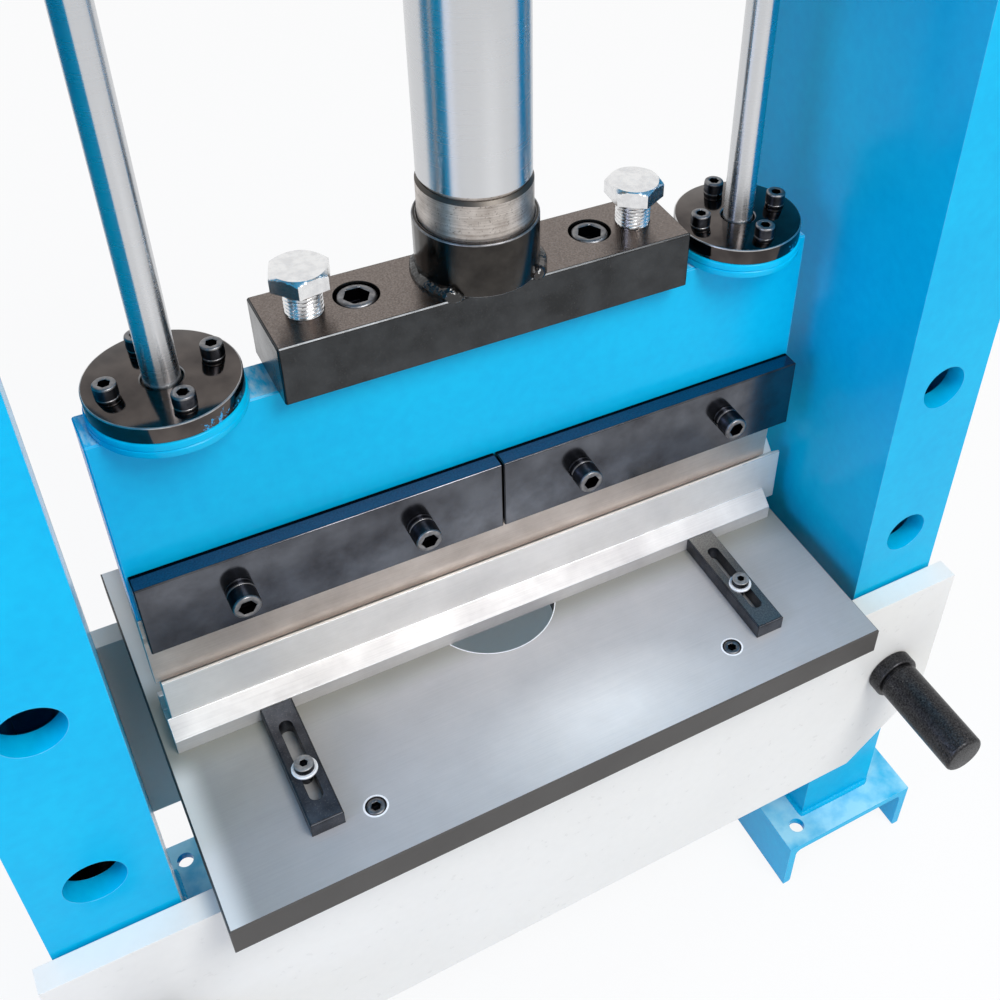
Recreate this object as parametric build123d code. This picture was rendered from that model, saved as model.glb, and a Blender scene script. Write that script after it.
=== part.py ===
from build123d import *
import os
from math import cos, tan, radians

# A hydraulic press brake: an H frame with box uprights, a pinned bed with a
# ground table and a V die, and a guided beam with a punch under the ram.
# Millimetres. X runs along the bend, +Y to the back, +Z up from the floor.

# Frame: two uprights welded from plates, standing on short channel feet
throat = 528.0
upright_depth = 220.0
upright_width = 77.0
upright_plate_t = 16.0
upright_side_t = 10.0
upright_cap_t = 8.0
foot_width = 140.0
foot_length = 274.0
foot_height = 60.0
foot_wall = 8.0
foot_root_r = 6.0
anchor_hole_d = 14.0
anchor_inset_x = 20.0
anchor_inset_y = 19.0
tie_width = 100.0
tie_height = 50.0
tie_wall = 6.0

# Bed: two plates outside the uprights, hung on a pin through each of them
pin_d = 35.0
pin_fit = 0.3
pin_room = 0.5
pin_hole_inset = 39.5
pin_hole_pitch = 147.0
pin_hole_count = 3
pin_height = 280.0
bed_overhang = 11.0
bed_plate_height = 217.0
bed_plate_t = 18.0
bed_plate_gap = 2.0
bed_corner_cut = 68.0
pin_drop = 92.0
bed_web_t = 12.0
bed_web_height = 150.0
bed_web_x = 150.0
bed_web_below = 20.0
pin_collar_rim = 3.0
pin_collar_t = 12.0
pin_grip = 98.0
pin_tail = 10.0
pin_edge_r = 3.0

# Table: a ground plate screwed down on the bed plates
table_length = 490.0
table_depth = 320.0
table_t = 24.0
table_hole_d = 96.0
table_edge = 1.0
table_screw_inset = 107.0

# Die: a V bar standing in a base rail that the slotted stops hold in line
die_base_width = 46.0
die_base_edge = 12.0
die_shoulder = 22.4
die_lip = 0.8
die_groove_floor = 8.0
die_bar_overhang = 12.5
die_bar_inset = 3.0
die_bar_width = 20.0
die_height = 57.0
v_width = 16.0
v_angle = 88.0

# Stops: slotted bars that butt against the die base, front and back
stop_inset = 75.0
stop_width = 22.0
stop_length = 100.0
stop_t = 12.0
stop_slot_end = 16.5
stop_slot_width = 9.0
stop_screw_reach = 58.0
stop_edge = 0.8
washer_d = 17.0
washer_t = 1.6

# Beam: a plate that carries the punch between two pairs of clamp plates
beam_length = 474.0
beam_t = 30.0
beam_height = 142.0
beam_edge = 1.0
clamp_height = 57.0
clamp_t = 14.0
clamp_lap = 17.0
clamp_split = 1.0
clamp_inset = 2.0
clamp_rise = 27.0
clamp_pitch = 118.0
clamp_edge = 0.6
punch_drop = 76.0
punch_head = 16.0
punch_neck = 30.0
punch_blade = 14.0
punch_root = 10.4
punch_tip = 1.6
punch_angle = 84.0
tip_lift = 1.5

# Guides: two rods fixed on the beam by flanges, sliding in the crosshead
guide_inset = 49.0
rod_d = 20.0
rod_edge = 1.5
rod_above_bush = 45.0
boss_rim = 1.0
boss_t = 10.0
flange_d = 85.0
flange_t = 11.0
flange_recess = 6.0
flange_recess_room = 1.5
flange_edge = 0.8
flange_screw_inset = 12.5
flange_turn_left = 9.0
flange_turn_right = 1.0
bush_wall = 10.0
bush_flange_rim = 15.0
bush_flange_t = 10.0
bush_above = 20.0
bush_below = 20.0

# Ram: an adapter block on the beam, with a cup for the ram's nose
block_gap = 13.0
block_depth = 54.0
block_forward = 2.5
block_height = 40.0
block_edge = 1.0
block_screw_pitch = 30.5
block_screw_sink = 0.3
block_screw_room = 1.3
jack_inset = 25.5
jack_stand = 18.0
jack_turn_left = 10.0
jack_turn_right = 27.0
ram_d = 66.0
nose_lip = 0.75
nose_height = 64.0
nose_groove = 3.0
nose_groove_depth = 2.0
nose_edge = 2.0
nose_fit = 0.25
cup_wall = 3.0
cup_height = 36.0
spigot_d = 44.0
stroke = 150.0

# Cylinder: a barrel whose flange bears up against the crosshead
bore_d = 100.0
barrel_wall = 15.0
barrel_flange_rim = 23.0
barrel_flange_t = 22.0
gland_lip_rim = 6.0
gland_lip = 6.0
gland_length = 50.0
gland_clear = 10.0
piston_height = 45.0
piston_rest = 6.0
piston_head_room = 5.0
cap_plug = 30.0
cap_t = 15.0
cap_edge = 1.5
ring_nut_wall = 17.0
ring_nut_t = 25.0
ring_nut_slot = 14.0
running_fit = 0.05
fitting_hex = 19.0
fitting_hex_t = 12.0
fitting_stub_d = 14.0
fitting_stub = 16.0
port_flat = 2.0

# Crosshead: two plates bolted across the uprights, a seat and two ribs
crosshead_overhang = 11.0
crosshead_height = 200.0
crosshead_t = 18.0
crosshead_corner = 40.0
seat_t = 30.0
seat_gap = 2.0
barrel_fit = 0.5
rib_t = 12.0
rib_x = 112.0
bolt_row_margin = 35.0
bolt_row_count = 3
bolt_inset = 38.5

# Gauge: a round pressure gauge on the front of the crosshead
gauge_x = 185.0
gauge_rise = 110.0
gauge_d = 100.0
gauge_depth = 38.0
gauge_wall = 4.0
gauge_dial_depth = 22.0
gauge_glass_t = 3.0
needle_length = 36.0
needle_tail = 12.0
needle_width = 3.0
needle_t = 1.2
needle_hub_d = 10.0
needle_hub_t = 4.0
needle_gap = 0.5
spindle_d = 4.0
gauge_zero = 225.0

# Pump: a hand pump and its oil tank on a bracket outside the right upright
bracket_t = 8.0
bracket_height = 160.0
bracket_lip = 2.0
bracket_z = 690.0
bracket_bend_r = 10.0
tank_x = 104.0
tank_y = 160.0
tank_z = 120.0
tank_corner_r = 12.0
tank_back_gap = 8.0
lid_t = 8.0
lid_lap = 5.0
filler_d = 30.0
filler_height = 14.0
filler_edge = 2.0
filler_inset = 26.0
pump_block_x = 50.0
pump_block_y = 64.0
pump_block_z = 60.0
plunger_d = 16.0
plunger_y = 0.0
plunger_bore_depth = 48.0
plunger_lift = 26.0
plunger_eye_t = 14.0
plunger_eye_d = 22.0
cross_pin_d = 8.0
lever_arm = 33.0
lever_rise = 43.0
lever_angle = 20.0
lever_cheek_t = 6.0
lever_cheek_height = 26.0
lever_slot_room = 0.6
lever_slot_run = 5.0
pivot_d = 10.0
ear_t = 7.0
ear_gap = 1.0
ear_width = 26.0
socket_d = 34.0
socket_start = 30.0
socket_length = 70.0
socket_depth = 55.0
handle_d = 25.4
handle_wall = 2.6
handle_length = 420.0
grip_d = 33.0
grip_length = 110.0
grip_overlap = 100.0
valve_x = 40.0
valve_y = 34.0
valve_z = 48.0
valve_rise = 52.0
valve_spindle_d = 12.0
valve_hub_d = 24.0
valve_hub_t = 14.0
valve_arm = 60.0
valve_arm_width = 12.0
valve_knob_d = 20.0
valve_face_gap = 0.5

# Metric screws: thread, head across, head height and key
m8_d, m8_head_d, m8_head, m8_key = 8.0, 13.0, 8.0, 6.0
m8_low_head, m8_low_key = 5.0, 5.0
m12_d, m12_head_d, m12_head, m12_key = 12.0, 18.0, 12.0, 10.0
m16_d, m16_head_d, m16_head, m16_key = 16.0, 24.0, 16.0, 14.0
m20_d, m20_flats, m20_head, m20_nut = 20.0, 30.0, 12.5, 18.0
m22_d, m22_flats, m22_head = 22.0, 32.0, 11.0
m8_room = 0.5
m12_room = 0.5
m16_room = 0.75
m20_room = 1.0
m8_spring_d, m8_spring_t = 12.7, 2.0
m12_spring_d, m12_spring_t = 18.1, 2.5
spring_split = 1.5
m8_reach = 9.0
m16_reach = 30.0
table_screw_length = 30.0

# Heights and places that follow from the sizes above
upright_in = throat / 2
upright_out = upright_in + upright_width
upright_mid = upright_in + upright_width / 2
upright_y = upright_depth / 2
upright_hollow_y = upright_y - upright_plate_t
pin_x = upright_in + pin_hole_inset
pin_hole_d = pin_d + 2 * pin_room
pin_collar_d = pin_d + 2 * pin_collar_rim
bed_plate_length = 2 * (upright_out + bed_overhang)
bed_y = upright_y + bed_plate_gap
bed_face_y = bed_y + bed_plate_t
bed_mid_y = bed_y + bed_plate_t / 2
bed_top = pin_height + pin_drop
table_top = bed_top + table_t
die_top = table_top + die_height
die_base_length = beam_length
die_bar_length = die_base_length + die_bar_overhang - die_bar_inset
die_bar_shift = (die_bar_overhang + die_bar_inset) / 2
v_depth = v_width / 2 / tan(radians(v_angle / 2))
tip_z = die_top - v_depth + tip_lift
beam_z = tip_z + punch_drop
beam_top = beam_z + beam_height
clamp_z = beam_z - clamp_lap
clamp_screw_z = clamp_z + clamp_rise
block_top = beam_top + block_height
boss_top = beam_top + boss_t
flange_top = boss_top + flange_t
guide_x = beam_length / 2 - guide_inset
boss_d = flange_d + 2 * boss_rim
flange_screw_circle = flange_d - 2 * flange_screw_inset
bush_d = rod_d + 2 * bush_wall
bush_flange_d = bush_d + 2 * bush_flange_rim
block_length = 2 * (guide_x - boss_d / 2 - block_gap)
jack_x = block_length / 2 - jack_inset
block_screw_x = jack_x - block_screw_pitch
counterbore_d = m16_head_d + 2 * block_screw_room
counterbore = m16_head + block_screw_sink
nose_d = ram_d + 2 * nose_lip
nose_groove_d = ram_d - 2 * nose_groove_depth
cup_bore = nose_d + 2 * nose_fit
cup_d = cup_bore + 2 * cup_wall
nose_top = block_top + nose_height
gland_z = nose_top + stroke + gland_clear
barrel_z = gland_z + gland_lip
seat_z = barrel_z + barrel_flange_t
seat_top = seat_z + seat_t
gland_top = barrel_z + gland_length
piston_z = gland_top + piston_rest
piston_top = piston_z + piston_height
plug_z = piston_top + stroke + piston_head_room
barrel_top = plug_z + cap_plug
cap_top = barrel_top + cap_t
barrel_d = bore_d + 2 * barrel_wall
barrel_flange_d = barrel_d + 2 * barrel_flange_rim
gland_lip_d = bore_d + 2 * gland_lip_rim
ring_nut_d = barrel_d + 2 * ring_nut_wall
port_flat_y = barrel_flange_d / 2 - port_flat
crosshead_length = 2 * (upright_out + crosshead_overhang)
crosshead_top = seat_z + crosshead_height
bush_top = seat_top + bush_flange_t + bush_above
rod_top = bush_top + rod_above_bush
crosshead_y = upright_y + crosshead_t
bolt_x = upright_in + bolt_inset
bolt_row_pitch = (crosshead_height - 2 * bolt_row_margin) / (bolt_row_count - 1)
bolt_levels = [seat_z + bolt_row_margin + i * bolt_row_pitch for i in range(bolt_row_count)]
table_screw_x = table_length / 2 - table_screw_inset
stop_x = table_length / 2 - stop_inset
stop_start = die_base_width / 2
stop_screw_y = stop_start + stop_screw_reach
sides = (-1, 1)


def block(x0, x1, y0, y1, z0, z1):
    size = Box(x1 - x0, y1 - y0, z1 - z0, align=(Align.MIN, Align.MIN, Align.MIN))
    return Pos(x0, y0, z0) * size


def turned(*points):
    # A solid of revolution about Z from its half section, as (radius, height)
    return revolve(Plane.XZ * make_face(Polyline(*points, close=True)), Axis.Z)


def drill_z(x, y, z0, z1, diameter):
    return Pos(x, y, (z0 + z1) / 2) * Cylinder(diameter / 2, z1 - z0)


def drill_y(x, z, y0, y1, diameter):
    return Pos(x, (y0 + y1) / 2, z) * Rot(X=90) * Cylinder(diameter / 2, y1 - y0)


def along_x(profile, length):
    # A section drawn in (y, z), drawn out evenly to both sides of x = 0
    return extrude(Plane.YZ * profile, amount=length / 2, both=True)


def outline(*points):
    return make_face(Polyline(*points, close=True))


def channel_section(depth, flange, web_t, flange_t, root_r):
    # A rolled channel with its web on local x = 0 and its toes towards +x
    hollow = Rectangle(flange - web_t, depth - 2 * flange_t, align=(Align.MIN, Align.CENTER))
    section = Rectangle(flange, depth, align=(Align.MIN, Align.CENTER)) - Pos(web_t, 0) * hollow
    roots = [v for v in section.vertices() if abs(v.X - web_t) < 0.01]
    section = fillet(roots, root_r)
    inside = depth / 2 - flange_t / 2
    toes = [v for v in section.vertices() if abs(v.X - flange) < 0.01 and abs(v.Y) < inside]
    return fillet(toes, root_r / 2)


def socket_screw(thread_d, length, head_d, head, key):
    # A cap screw standing on z = 0, with its shank below and a key socket on top
    edge = head / 10
    shape = turned(
        (0, -length), (thread_d / 2 - edge, -length), (thread_d / 2, -length + edge),
        (thread_d / 2, 0), (head_d / 2, 0), (head_d / 2, head - edge), (head_d / 2 - edge, head), (0, head))
    socket = Pos(0, 0, head / 2) * extrude(RegularPolygon(key / 2, 6, major_radius=False), amount=head)
    return shape - socket


def spring_washer(thread_d, outer_d, t):
    # A split ring standing on z = 0
    ring = turned((thread_d / 2, 0), (outer_d / 2, 0), (outer_d / 2, t), (thread_d / 2, t))
    return ring - Pos(-outer_d / 2, 0, t / 2) * Box(outer_d, spring_split, 2 * t)


def hex_bolt(thread_d, length, flats, head):
    # A hexagon bolt standing on z = 0, with its shank below and a chamfered head
    edge = head / 12
    corner = flats / 2 / cos(radians(30))
    hexagon = extrude(RegularPolygon(flats / 2, 6, major_radius=False), amount=head)
    dome = turned((0, 0), (corner, 0), (corner, head - 2 * edge), (flats / 2 - edge, head), (0, head))
    r = thread_d / 2
    shank = turned((0, -length), (r - edge, -length), (r, -length + edge), (r, 0), (0, 0))
    return (hexagon & dome) + shank


def hex_nut(thread_d, flats, height):
    body = extrude(RegularPolygon(flats / 2, 6, major_radius=False), amount=height)
    return body - Pos(0, 0, height / 2) * Cylinder(thread_d / 2, height)


def save(name, *solids):
    shape = solids[0] if len(solids) == 1 else Compound(children=list(solids))
    export_step(shape, f"parts/{name}.step")


def upright():
    # A box with thick plates front and back, thin ones at the sides and a cap on top
    shape = block(upright_in, upright_out, -upright_y, upright_y, foot_height, crosshead_top)
    shape -= block(
        upright_in + upright_side_t, upright_out - upright_side_t, -upright_hollow_y, upright_hollow_y,
        foot_height, crosshead_top - upright_cap_t)
    for level in range(pin_hole_count):
        z = pin_height + level * pin_hole_pitch
        shape -= drill_y(pin_x, z, -upright_depth, upright_depth, pin_hole_d)
    for z in bolt_levels:
        shape -= drill_y(bolt_x, z, -upright_depth, upright_depth, m20_d + 2 * m20_room)
    return shape


def foot():
    # A length of channel laid web up under the upright, with two anchor holes
    section = channel_section(foot_width, foot_height, foot_wall, foot_wall, foot_root_r)
    plane = Plane(origin=(upright_mid, -foot_length / 2, foot_height), x_dir=(0, 0, -1), z_dir=(0, 1, 0))
    shape = extrude(plane * section, amount=foot_length)
    hole_x = upright_mid - foot_width / 2 + anchor_inset_x
    for side in sides:
        hole_y = side * (foot_length / 2 - anchor_inset_y)
        shape -= drill_z(hole_x, hole_y, foot_height - 2 * foot_wall, foot_height + foot_wall, anchor_hole_d)
    return shape


def base_tie():
    section = channel_section(tie_width, tie_height, tie_wall, tie_wall, tie_wall / 2)
    plane = Plane(origin=(-upright_in, 0, foot_height + tie_height), x_dir=(0, 0, -1), z_dir=(1, 0, 0))
    return extrude(plane * section, amount=throat)


def bed_plate():
    # The front plate: lower corners cut away, a pin hole at each end
    x = bed_plate_length / 2
    z0 = bed_top - bed_plate_height
    face = outline(
        (-x, bed_top), (-x, z0 + bed_corner_cut), (-x + bed_corner_cut, z0),
        (x - bed_corner_cut, z0), (x, z0 + bed_corner_cut), (x, bed_top))
    shape = Pos(0, -bed_y, 0) * extrude(Plane.XZ * face, amount=bed_plate_t)
    for side in sides:
        shape -= drill_y(side * pin_x, pin_height, -bed_face_y - 1, -bed_y + 1, pin_d + 2 * pin_fit)
        screw_end = table_top - m8_head - table_screw_length
        shape -= drill_z(side * table_screw_x, -bed_mid_y, screw_end, bed_top + 1, m8_d)
    return shape


def bed_web(x):
    z1 = bed_top - bed_web_below
    return block(x - bed_web_t / 2, x + bed_web_t / 2, -bed_y, bed_y, z1 - bed_web_height, z1)


def bed_pin(x):
    # Turned along Y: a grip in front, a collar on the bed plate, a plain shaft
    r = pin_d / 2
    front = bed_face_y + pin_grip
    tail = bed_face_y + pin_tail
    shape = turned(
        (0, -front), (r - pin_edge_r, -front), (r, -front + pin_edge_r), (r, -bed_face_y - pin_collar_t),
        (pin_collar_d / 2, -bed_face_y - pin_collar_t), (pin_collar_d / 2, -bed_face_y), (r, -bed_face_y),
        (r, tail - pin_edge_r), (r - pin_edge_r, tail), (0, tail))
    return Pos(x, 0, pin_height) * Rot(X=-90) * shape


def table_screw_places():
    return [(x * table_screw_x, y * bed_mid_y) for x in sides for y in sides]


def stop_screw_places():
    return [(x * stop_x, y * stop_screw_y) for x in sides for y in sides]


def bed_table():
    plate = block(-table_length / 2, table_length / 2, -table_depth / 2, table_depth / 2, bed_top, table_top)
    shape = chamfer(plate.edges().group_by(Axis.Z)[-1], table_edge)
    shape -= drill_z(0, 0, bed_top - 1, table_top + 1, table_hole_d)
    for x, y in table_screw_places():
        shape -= drill_z(x, y, bed_top - 1, table_top + 1, m8_d + 2 * m8_room)
        shape -= drill_z(x, y, table_top - m8_head, table_top + 1, m8_head_d + 2 * m8_room)
    for x, y in stop_screw_places():
        shape -= drill_z(x, y, bed_top - 1, table_top + 1, m8_d)
    return shape


def table_screws():
    screw = socket_screw(m8_d, table_screw_length, m8_head_d, m8_head, m8_key)
    return [Pos(x, y, table_top - m8_head) * screw for x, y in table_screw_places()]


def die_base():
    # A rail with sloping shoulders and a groove that the V bar stands in
    half = die_base_width / 2
    groove = die_bar_width / 2
    lip = groove + die_lip
    profile = outline(
        (-half, 0), (half, 0), (half, die_base_edge), (lip, die_shoulder), (groove, die_shoulder),
        (groove, die_groove_floor), (-groove, die_groove_floor), (-groove, die_shoulder),
        (-lip, die_shoulder), (-half, die_base_edge))
    return Pos(0, 0, table_top) * along_x(profile, die_base_length)


def v_die():
    half = die_bar_width / 2
    profile = outline(
        (-half, die_groove_floor), (half, die_groove_floor), (half, die_height), (v_width / 2, die_height),
        (0, die_height - v_depth), (-v_width / 2, die_height), (-half, die_height))
    return Pos(die_bar_shift, 0, table_top) * along_x(profile, die_bar_length)


def stop_bar(x, side):
    # side is -1 for a front bar and 1 for a rear one
    bar = Box(stop_width, stop_length, stop_t, align=(Align.CENTER, Align.MIN, Align.MIN))
    bar = chamfer(bar.edges().group_by(Axis.Z)[-1], stop_edge)
    slot_length = stop_length - 2 * stop_slot_end
    slot = extrude(Rot(Z=90) * SlotOverall(slot_length, stop_slot_width), amount=stop_t)
    bar -= Pos(0, stop_length / 2, 0) * slot
    turn = 0 if side > 0 else 180
    return Pos(x, side * stop_start, table_top) * Rot(Z=turn) * bar


def stop_fasteners():
    shank = stop_t + washer_t + table_t
    screw = socket_screw(m8_d, shank, m8_head_d, m8_low_head, m8_low_key)
    washer = Cylinder(washer_d / 2, washer_t) - Cylinder(m8_d / 2, washer_t)
    solids = []
    for x, y in stop_screw_places():
        solids.append(Pos(x, y, table_top + stop_t + washer_t / 2) * washer)
        solids.append(Pos(x, y, table_top + stop_t + washer_t) * screw)
    return solids


def clamp_screw_places():
    return [side * clamp_pitch * step for side in sides for step in (0.5, 1.5)]


def beam():
    plate = block(-beam_length / 2, beam_length / 2, -beam_t / 2, beam_t / 2, beam_z, beam_top)
    shape = chamfer(plate.edges(), beam_edge)
    for x in clamp_screw_places():
        shape -= drill_y(x, clamp_screw_z, -beam_t, beam_t, m12_d + 2 * m12_room)
    for side in sides:
        shape -= drill_z(side * block_screw_x, 0, beam_top - m16_reach, beam_top + 1, m16_d)
    return shape


def clamp(side, face, hole_d):
    # Half of the front (face -1) or rear (face 1) pair of clamp plates
    x0 = clamp_split / 2
    x1 = beam_length / 2 - clamp_inset
    plate = block(x0, x1, 0, clamp_t, clamp_z, clamp_z + clamp_height)
    shape = chamfer(plate.edges(), clamp_edge)
    for step in (0.5, 1.5):
        shape -= drill_y(clamp_pitch * step, clamp_screw_z, -1, clamp_t + 1, hole_d)
    if side < 0:
        shape = mirror(shape, Plane.YZ)
    if face < 0:
        shape = mirror(shape, Plane.XZ)
    return Pos(0, face * beam_t / 2, 0) * shape


def clamp_screws():
    length = m12_spring_t + 2 * clamp_t + beam_t
    washer = spring_washer(m12_d, m12_spring_d, m12_spring_t)
    screw = Pos(0, 0, m12_spring_t) * socket_screw(m12_d, length, m12_head_d, m12_head, m12_key)
    places = [Pos(x, -beam_t / 2 - clamp_t, clamp_screw_z) * Rot(X=90) for x in clamp_screw_places()]
    return [place * solid for place in places for solid in (washer, screw)]


def punch():
    # A head as thick as the beam, a tapering blade and a nose for sharp bends
    head = beam_t / 2
    blade = punch_blade / 2
    root = punch_root / 2
    tip = punch_tip / 2
    nose = (root - tip) / tan(radians(punch_angle / 2))
    right = [
        (head, punch_drop), (head, punch_drop - punch_head), (blade, punch_drop - punch_neck),
        (root, nose), (tip, 0)]
    left = [(-y, z) for y, z in reversed(right)]
    return Pos(0, 0, tip_z) * along_x(outline(*right, *left), beam_length)


def flange_screw_places(side):
    turn = flange_turn_left if side < 0 else flange_turn_right
    circle = PolarLocations(flange_screw_circle / 2, 4, start_angle=turn)
    return [Pos(side * guide_x, 0, 0) * place for place in circle]


def guide_boss(side):
    shape = Pos(side * guide_x, 0, beam_top + boss_t / 2) * Cylinder(boss_d / 2, boss_t)
    shape -= drill_z(side * guide_x, 0, beam_top - 1, boss_top + 1, rod_d)
    for place in flange_screw_places(side):
        shape -= place * Pos(0, 0, boss_top) * Cylinder(m8_d / 2, 2 * m8_reach)
    return shape


def guide_flange(side):
    r = flange_d / 2
    recess = rod_d / 2 + flange_recess_room
    shape = turned(
        (rod_d / 2, 0), (r, 0), (r, flange_t - flange_edge), (r - flange_edge, flange_t), (recess, flange_t),
        (recess, flange_t - flange_recess), (rod_d / 2, flange_t - flange_recess))
    shape = Pos(side * guide_x, 0, boss_top) * shape
    for place in flange_screw_places(side):
        shape -= place * Pos(0, 0, boss_top + flange_t / 2) * Cylinder(m8_d / 2 + m8_room, flange_t + 2)
    return shape


def flange_screws():
    length = m8_spring_t + flange_t + m8_reach
    washer = spring_washer(m8_d, m8_spring_d, m8_spring_t)
    screw = Pos(0, 0, m8_spring_t) * socket_screw(m8_d, length, m8_head_d, m8_head, m8_key)
    places = [place * Pos(0, 0, flange_top) for side in sides for place in flange_screw_places(side)]
    return [place * solid for place in places for solid in (washer, screw)]


def guide_rod(side):
    r = rod_d / 2
    shape = turned(
        (0, beam_top), (r - rod_edge, beam_top), (r, beam_top + rod_edge), (r, rod_top - rod_edge),
        (r - rod_edge, rod_top), (0, rod_top))
    return Pos(side * guide_x, 0, 0) * shape


def guide_bush(side):
    # A flanged bush let into the seat from above
    bore = rod_d / 2 + running_fit
    body = bush_d / 2
    flange = bush_flange_d / 2
    shape = turned(
        (bore, seat_z - bush_below), (body, seat_z - bush_below), (body, seat_top), (flange, seat_top),
        (flange, seat_top + bush_flange_t), (body, seat_top + bush_flange_t), (body, bush_top),
        (bore, bush_top))
    return Pos(side * guide_x, 0, 0) * shape


def adapter_block():
    half = block_length / 2
    front = -block_depth / 2 - block_forward
    shape = block(-half, half, front, front + block_depth, beam_top, block_top)
    shape = chamfer(shape.edges(), block_edge)
    for side in sides:
        x = side * block_screw_x
        shape -= drill_z(x, 0, beam_top - 1, block_top + 1, m16_d + 2 * m16_room)
        shape -= drill_z(x, 0, block_top - counterbore, block_top + 1, counterbore_d)
        shape -= drill_z(side * jack_x, 0, beam_top - 1, block_top + 1, m22_d + 2 * running_fit)
    return shape


def block_screws():
    length = block_height - counterbore + m16_reach
    screw = socket_screw(m16_d, length, m16_head_d, m16_head, m16_key)
    return [Pos(side * block_screw_x, 0, block_top - counterbore) * screw for side in sides]


def jack_bolt(side):
    bolt = hex_bolt(m22_d, jack_stand + block_height, m22_flats, m22_head)
    turn = jack_turn_left if side < 0 else jack_turn_right
    return Pos(side * jack_x, 0, block_top + jack_stand) * Rot(Z=turn) * bolt


def ram_cup():
    z1 = block_top + cup_height
    return turned((cup_bore / 2, block_top), (cup_d / 2, block_top), (cup_d / 2, z1), (cup_bore / 2, z1))


def ram_nose():
    r = nose_d / 2
    groove = nose_groove_d / 2
    return turned(
        (0, block_top), (r - nose_edge, block_top), (r, block_top + nose_edge),
        (r, nose_top - nose_groove - nose_edge), (r - nose_edge, nose_top - nose_groove),
        (groove, nose_top - nose_groove), (groove, nose_top), (0, nose_top))


def ram():
    r = ram_d / 2
    spigot = spigot_d / 2
    return turned(
        (0, nose_top), (r, nose_top), (r, piston_z), (spigot, piston_z), (spigot, piston_top),
        (0, piston_top))


def piston():
    r = bore_d / 2 - running_fit
    return turned((spigot_d / 2, piston_z), (r, piston_z), (r, piston_top), (spigot_d / 2, piston_top))


def cylinder_barrel():
    # The flange has a flat milled at the back for the lower port
    r = barrel_d / 2
    shape = turned(
        (bore_d / 2, barrel_z), (barrel_flange_d / 2, barrel_z), (barrel_flange_d / 2, seat_z), (r, seat_z),
        (r, barrel_top), (bore_d / 2, barrel_top))
    return shape - block(-barrel_flange_d, barrel_flange_d, port_flat_y, barrel_flange_d, barrel_z, seat_z)


def cylinder_gland():
    inner = ram_d / 2 + running_fit
    return turned(
        (inner, gland_z), (gland_lip_d / 2, gland_z), (gland_lip_d / 2, barrel_z), (bore_d / 2, barrel_z),
        (bore_d / 2, gland_top), (inner, gland_top))


def cylinder_cap():
    return turned(
        (0, plug_z), (bore_d / 2, plug_z), (bore_d / 2, barrel_top), (barrel_d / 2, barrel_top),
        (barrel_d / 2, cap_top - cap_edge), (barrel_d / 2 - cap_edge, cap_top), (0, cap_top))


def ring_nut():
    # A slotted round nut that pulls the barrel's flange up against the seat
    shape = Pos(0, 0, seat_top + ring_nut_t / 2) * (
        Cylinder(ring_nut_d / 2, ring_nut_t) - Cylinder(barrel_d / 2, ring_nut_t))
    for place in PolarLocations(ring_nut_d / 2, 4, start_angle=45):
        shape -= Pos(0, 0, seat_top + ring_nut_t / 2) * place * Box(ring_nut_slot, ring_nut_slot, ring_nut_t)
    return shape


def port_fitting():
    hexagon = extrude(RegularPolygon(fitting_hex / 2, 6, major_radius=False), amount=fitting_hex_t)
    stub = Pos(0, 0, fitting_hex_t + fitting_stub / 2) * Cylinder(fitting_stub_d / 2, fitting_stub)
    bore = Pos(0, 0, fitting_hex_t + fitting_stub / 2) * Cylinder(fitting_stub_d / 4, fitting_stub)
    return hexagon + stub - bore


def port_fittings():
    # One fitting on the cap, one on the flat at the back of the barrel's flange
    flange_z = barrel_z + barrel_flange_t / 2
    lower = Pos(0, port_flat_y, flange_z) * Rot(X=-90) * port_fitting()
    return [Pos(0, 0, cap_top) * port_fitting(), lower]


def crosshead_plate():
    # The front plate: upper corners cut away, a row of bolt holes at each end
    x = crosshead_length / 2
    shoulder = crosshead_top - crosshead_corner
    face = outline(
        (-x, seat_z), (x, seat_z), (x, shoulder), (x - crosshead_corner, crosshead_top),
        (-x + crosshead_corner, crosshead_top), (-x, shoulder))
    shape = Pos(0, -upright_y, 0) * extrude(Plane.XZ * face, amount=crosshead_t)
    for side in sides:
        for z in bolt_levels:
            shape -= drill_y(side * bolt_x, z, -crosshead_y - 1, -upright_y + 1, m20_d + 2 * m20_room)
    return shape


def cylinder_seat():
    x = upright_in - seat_gap
    shape = block(-x, x, -upright_y, upright_y, seat_z, seat_top)
    shape -= drill_z(0, 0, seat_z - 1, seat_top + 1, barrel_d + 2 * barrel_fit)
    for side in sides:
        shape -= drill_z(side * guide_x, 0, seat_z - 1, seat_top + 1, bush_d)
    return shape


def crosshead_rib(x):
    return block(x - rib_t / 2, x + rib_t / 2, -upright_y, upright_y, seat_top, crosshead_top)


def crosshead_fasteners():
    # Bolts from outside, front and back, into nuts welded inside the uprights
    length = crosshead_t + upright_plate_t + m20_nut
    bolt = hex_bolt(m20_d, length, m20_flats, m20_head)
    nut = hex_nut(m20_d, m20_flats, m20_nut)
    solids = []
    for x in sides:
        for z in bolt_levels:
            for y in sides:
                solids.append(Pos(x * bolt_x, y * crosshead_y, z) * Rot(X=-90 * y) * bolt)
                solids.append(Pos(x * bolt_x, y * upright_hollow_y, z) * Rot(X=90 * y) * nut)
    return solids


# The gauge is built facing up on z = 0, then stood on the crosshead's front
gauge_place = Pos(gauge_x, -crosshead_y, seat_z + gauge_rise) * Rot(X=90)


def gauge_case():
    r = gauge_d / 2
    inner = r - gauge_wall
    shape = turned(
        (0, 0), (r, 0), (r, gauge_depth), (inner, gauge_depth), (inner, gauge_wall), (0, gauge_wall))
    return gauge_place * shape


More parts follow.
